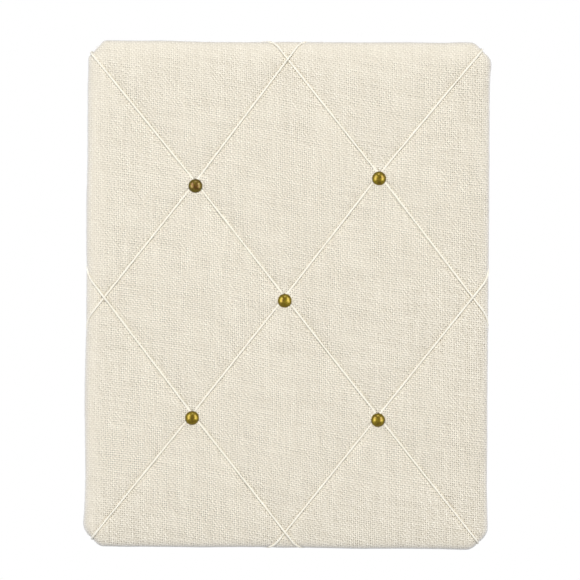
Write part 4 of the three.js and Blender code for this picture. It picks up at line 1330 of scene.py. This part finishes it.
def set_world(front, beside, back):
    """A dim room in front and a bright cove round the back. Camera and metals see plain white."""
    world = bpy.data.worlds.new("studio")
    SCENE.world = world
    world.use_nodes = True
    world.node_tree.nodes.clear()
    w = Nodes(world.node_tree)
    direction = w.split(w.coordinates("Generated"))
    ramp = w.make("ValToRGB", w.math("MULTIPLY_ADD", direction["Y"], 0.5, 0.5))
    stops = ramp.color_ramp.elements
    stops[0].position, stops[0].color = FRONT_AT, front
    stops[1].position, stops[1].color = BACK_AT, back
    for place in BESIDE_AT:
        stops.new(place).color = beside
    dimmed = w.product(w.fit(direction["Z"], *DIM_ABOVE), w.fit(direction["Z"], *DIM_BELOW))
    soft = w.make("Background", ramp.outputs[0], dimmed)
    white = w.make("Background", (1, 1, 1), 1.0)
    path = w.make("LightPath").outputs
    seen = path["Is Camera Ray"]
    for name in ("Is Glossy Ray", "Is Transmission Ray"):
        seen = w.math("MAXIMUM", seen, path[name])
    mixed = w.make("MixShader", seen, soft.outputs[0], white.outputs[0])
    w.make("OutputWorld", mixed.outputs[0])


COOL = (0.58, 0.59, 1.0)
STRIP_ANGLE = math.radians(56)
STRIP_DISTANCE = 1.3
STRIP_Z = -0.05

set_world((0.57, 0.57, 0.57, 1), (1.72, 1.79, 2.03, 1), (1.0, 0.96, 0.86, 1))
for side, name in ((-1, "strip_left"), (1, "strip_right")):
    angle = STRIP_ANGLE * side
    place = (STRIP_DISTANCE * math.sin(angle), -STRIP_DISTANCE * math.cos(angle), STRIP_Z)
    area_light(name, place, (0, 0, STRIP_Z), (0.75, 2.6), 8.7, diffuse=False, colour=COOL)
area_light("strip_top", (0, -0.5, 1.5), (0, 0, 0), (0.5, 0.3), 14.0, diffuse=False, colour=COOL)
area_light("key", (0.0, -3.37, 1.5), (0, 0, 0), (1.98, 1.98), 10.15)

FLOOR_RADIUS = 1300
FLOOR_Z = -500
FLOOR_POINTS = 128
turns = np.linspace(0, FULL_TURN, FLOOR_POINTS, endpoint=False)
floor = make_object(
    "floor", [(FLOOR_RADIUS * math.cos(t), FLOOR_RADIUS * math.sin(t), FLOOR_Z) for t in turns],
    [tuple(range(FLOOR_POINTS))], smooth=False)
floor_paint = Shader("floor").set(Base_Color=(0.92, 0.905, 0.86), Roughness=0.9)
floor.data.materials.append(floor_paint)
floor.visible_diffuse = floor.visible_shadow = False

SENSOR_WIDTH = 36.0
VIEW_DISTANCE = 2500
VIEW_WIDTH = 406
camera_data = bpy.data.cameras.new("camera")
camera_data.sensor_width = SENSOR_WIDTH
camera_data.lens = SENSOR_WIDTH * VIEW_DISTANCE / VIEW_WIDTH
camera = bpy.data.objects.new("camera", camera_data)
camera.location = (1.68 * MM, -2.5085, 3.22 * MM)
camera.rotation_mode = "QUATERNION"
tilt = Quaternion((0, 0, 1), math.radians(0.43))
camera.rotation_quaternion = Euler((QUARTER_TURN, 0, 0)).to_quaternion() @ tilt
SCENE.collection.objects.link(camera)
SCENE.camera = camera
SCENE.view_settings.view_transform = "Standard"
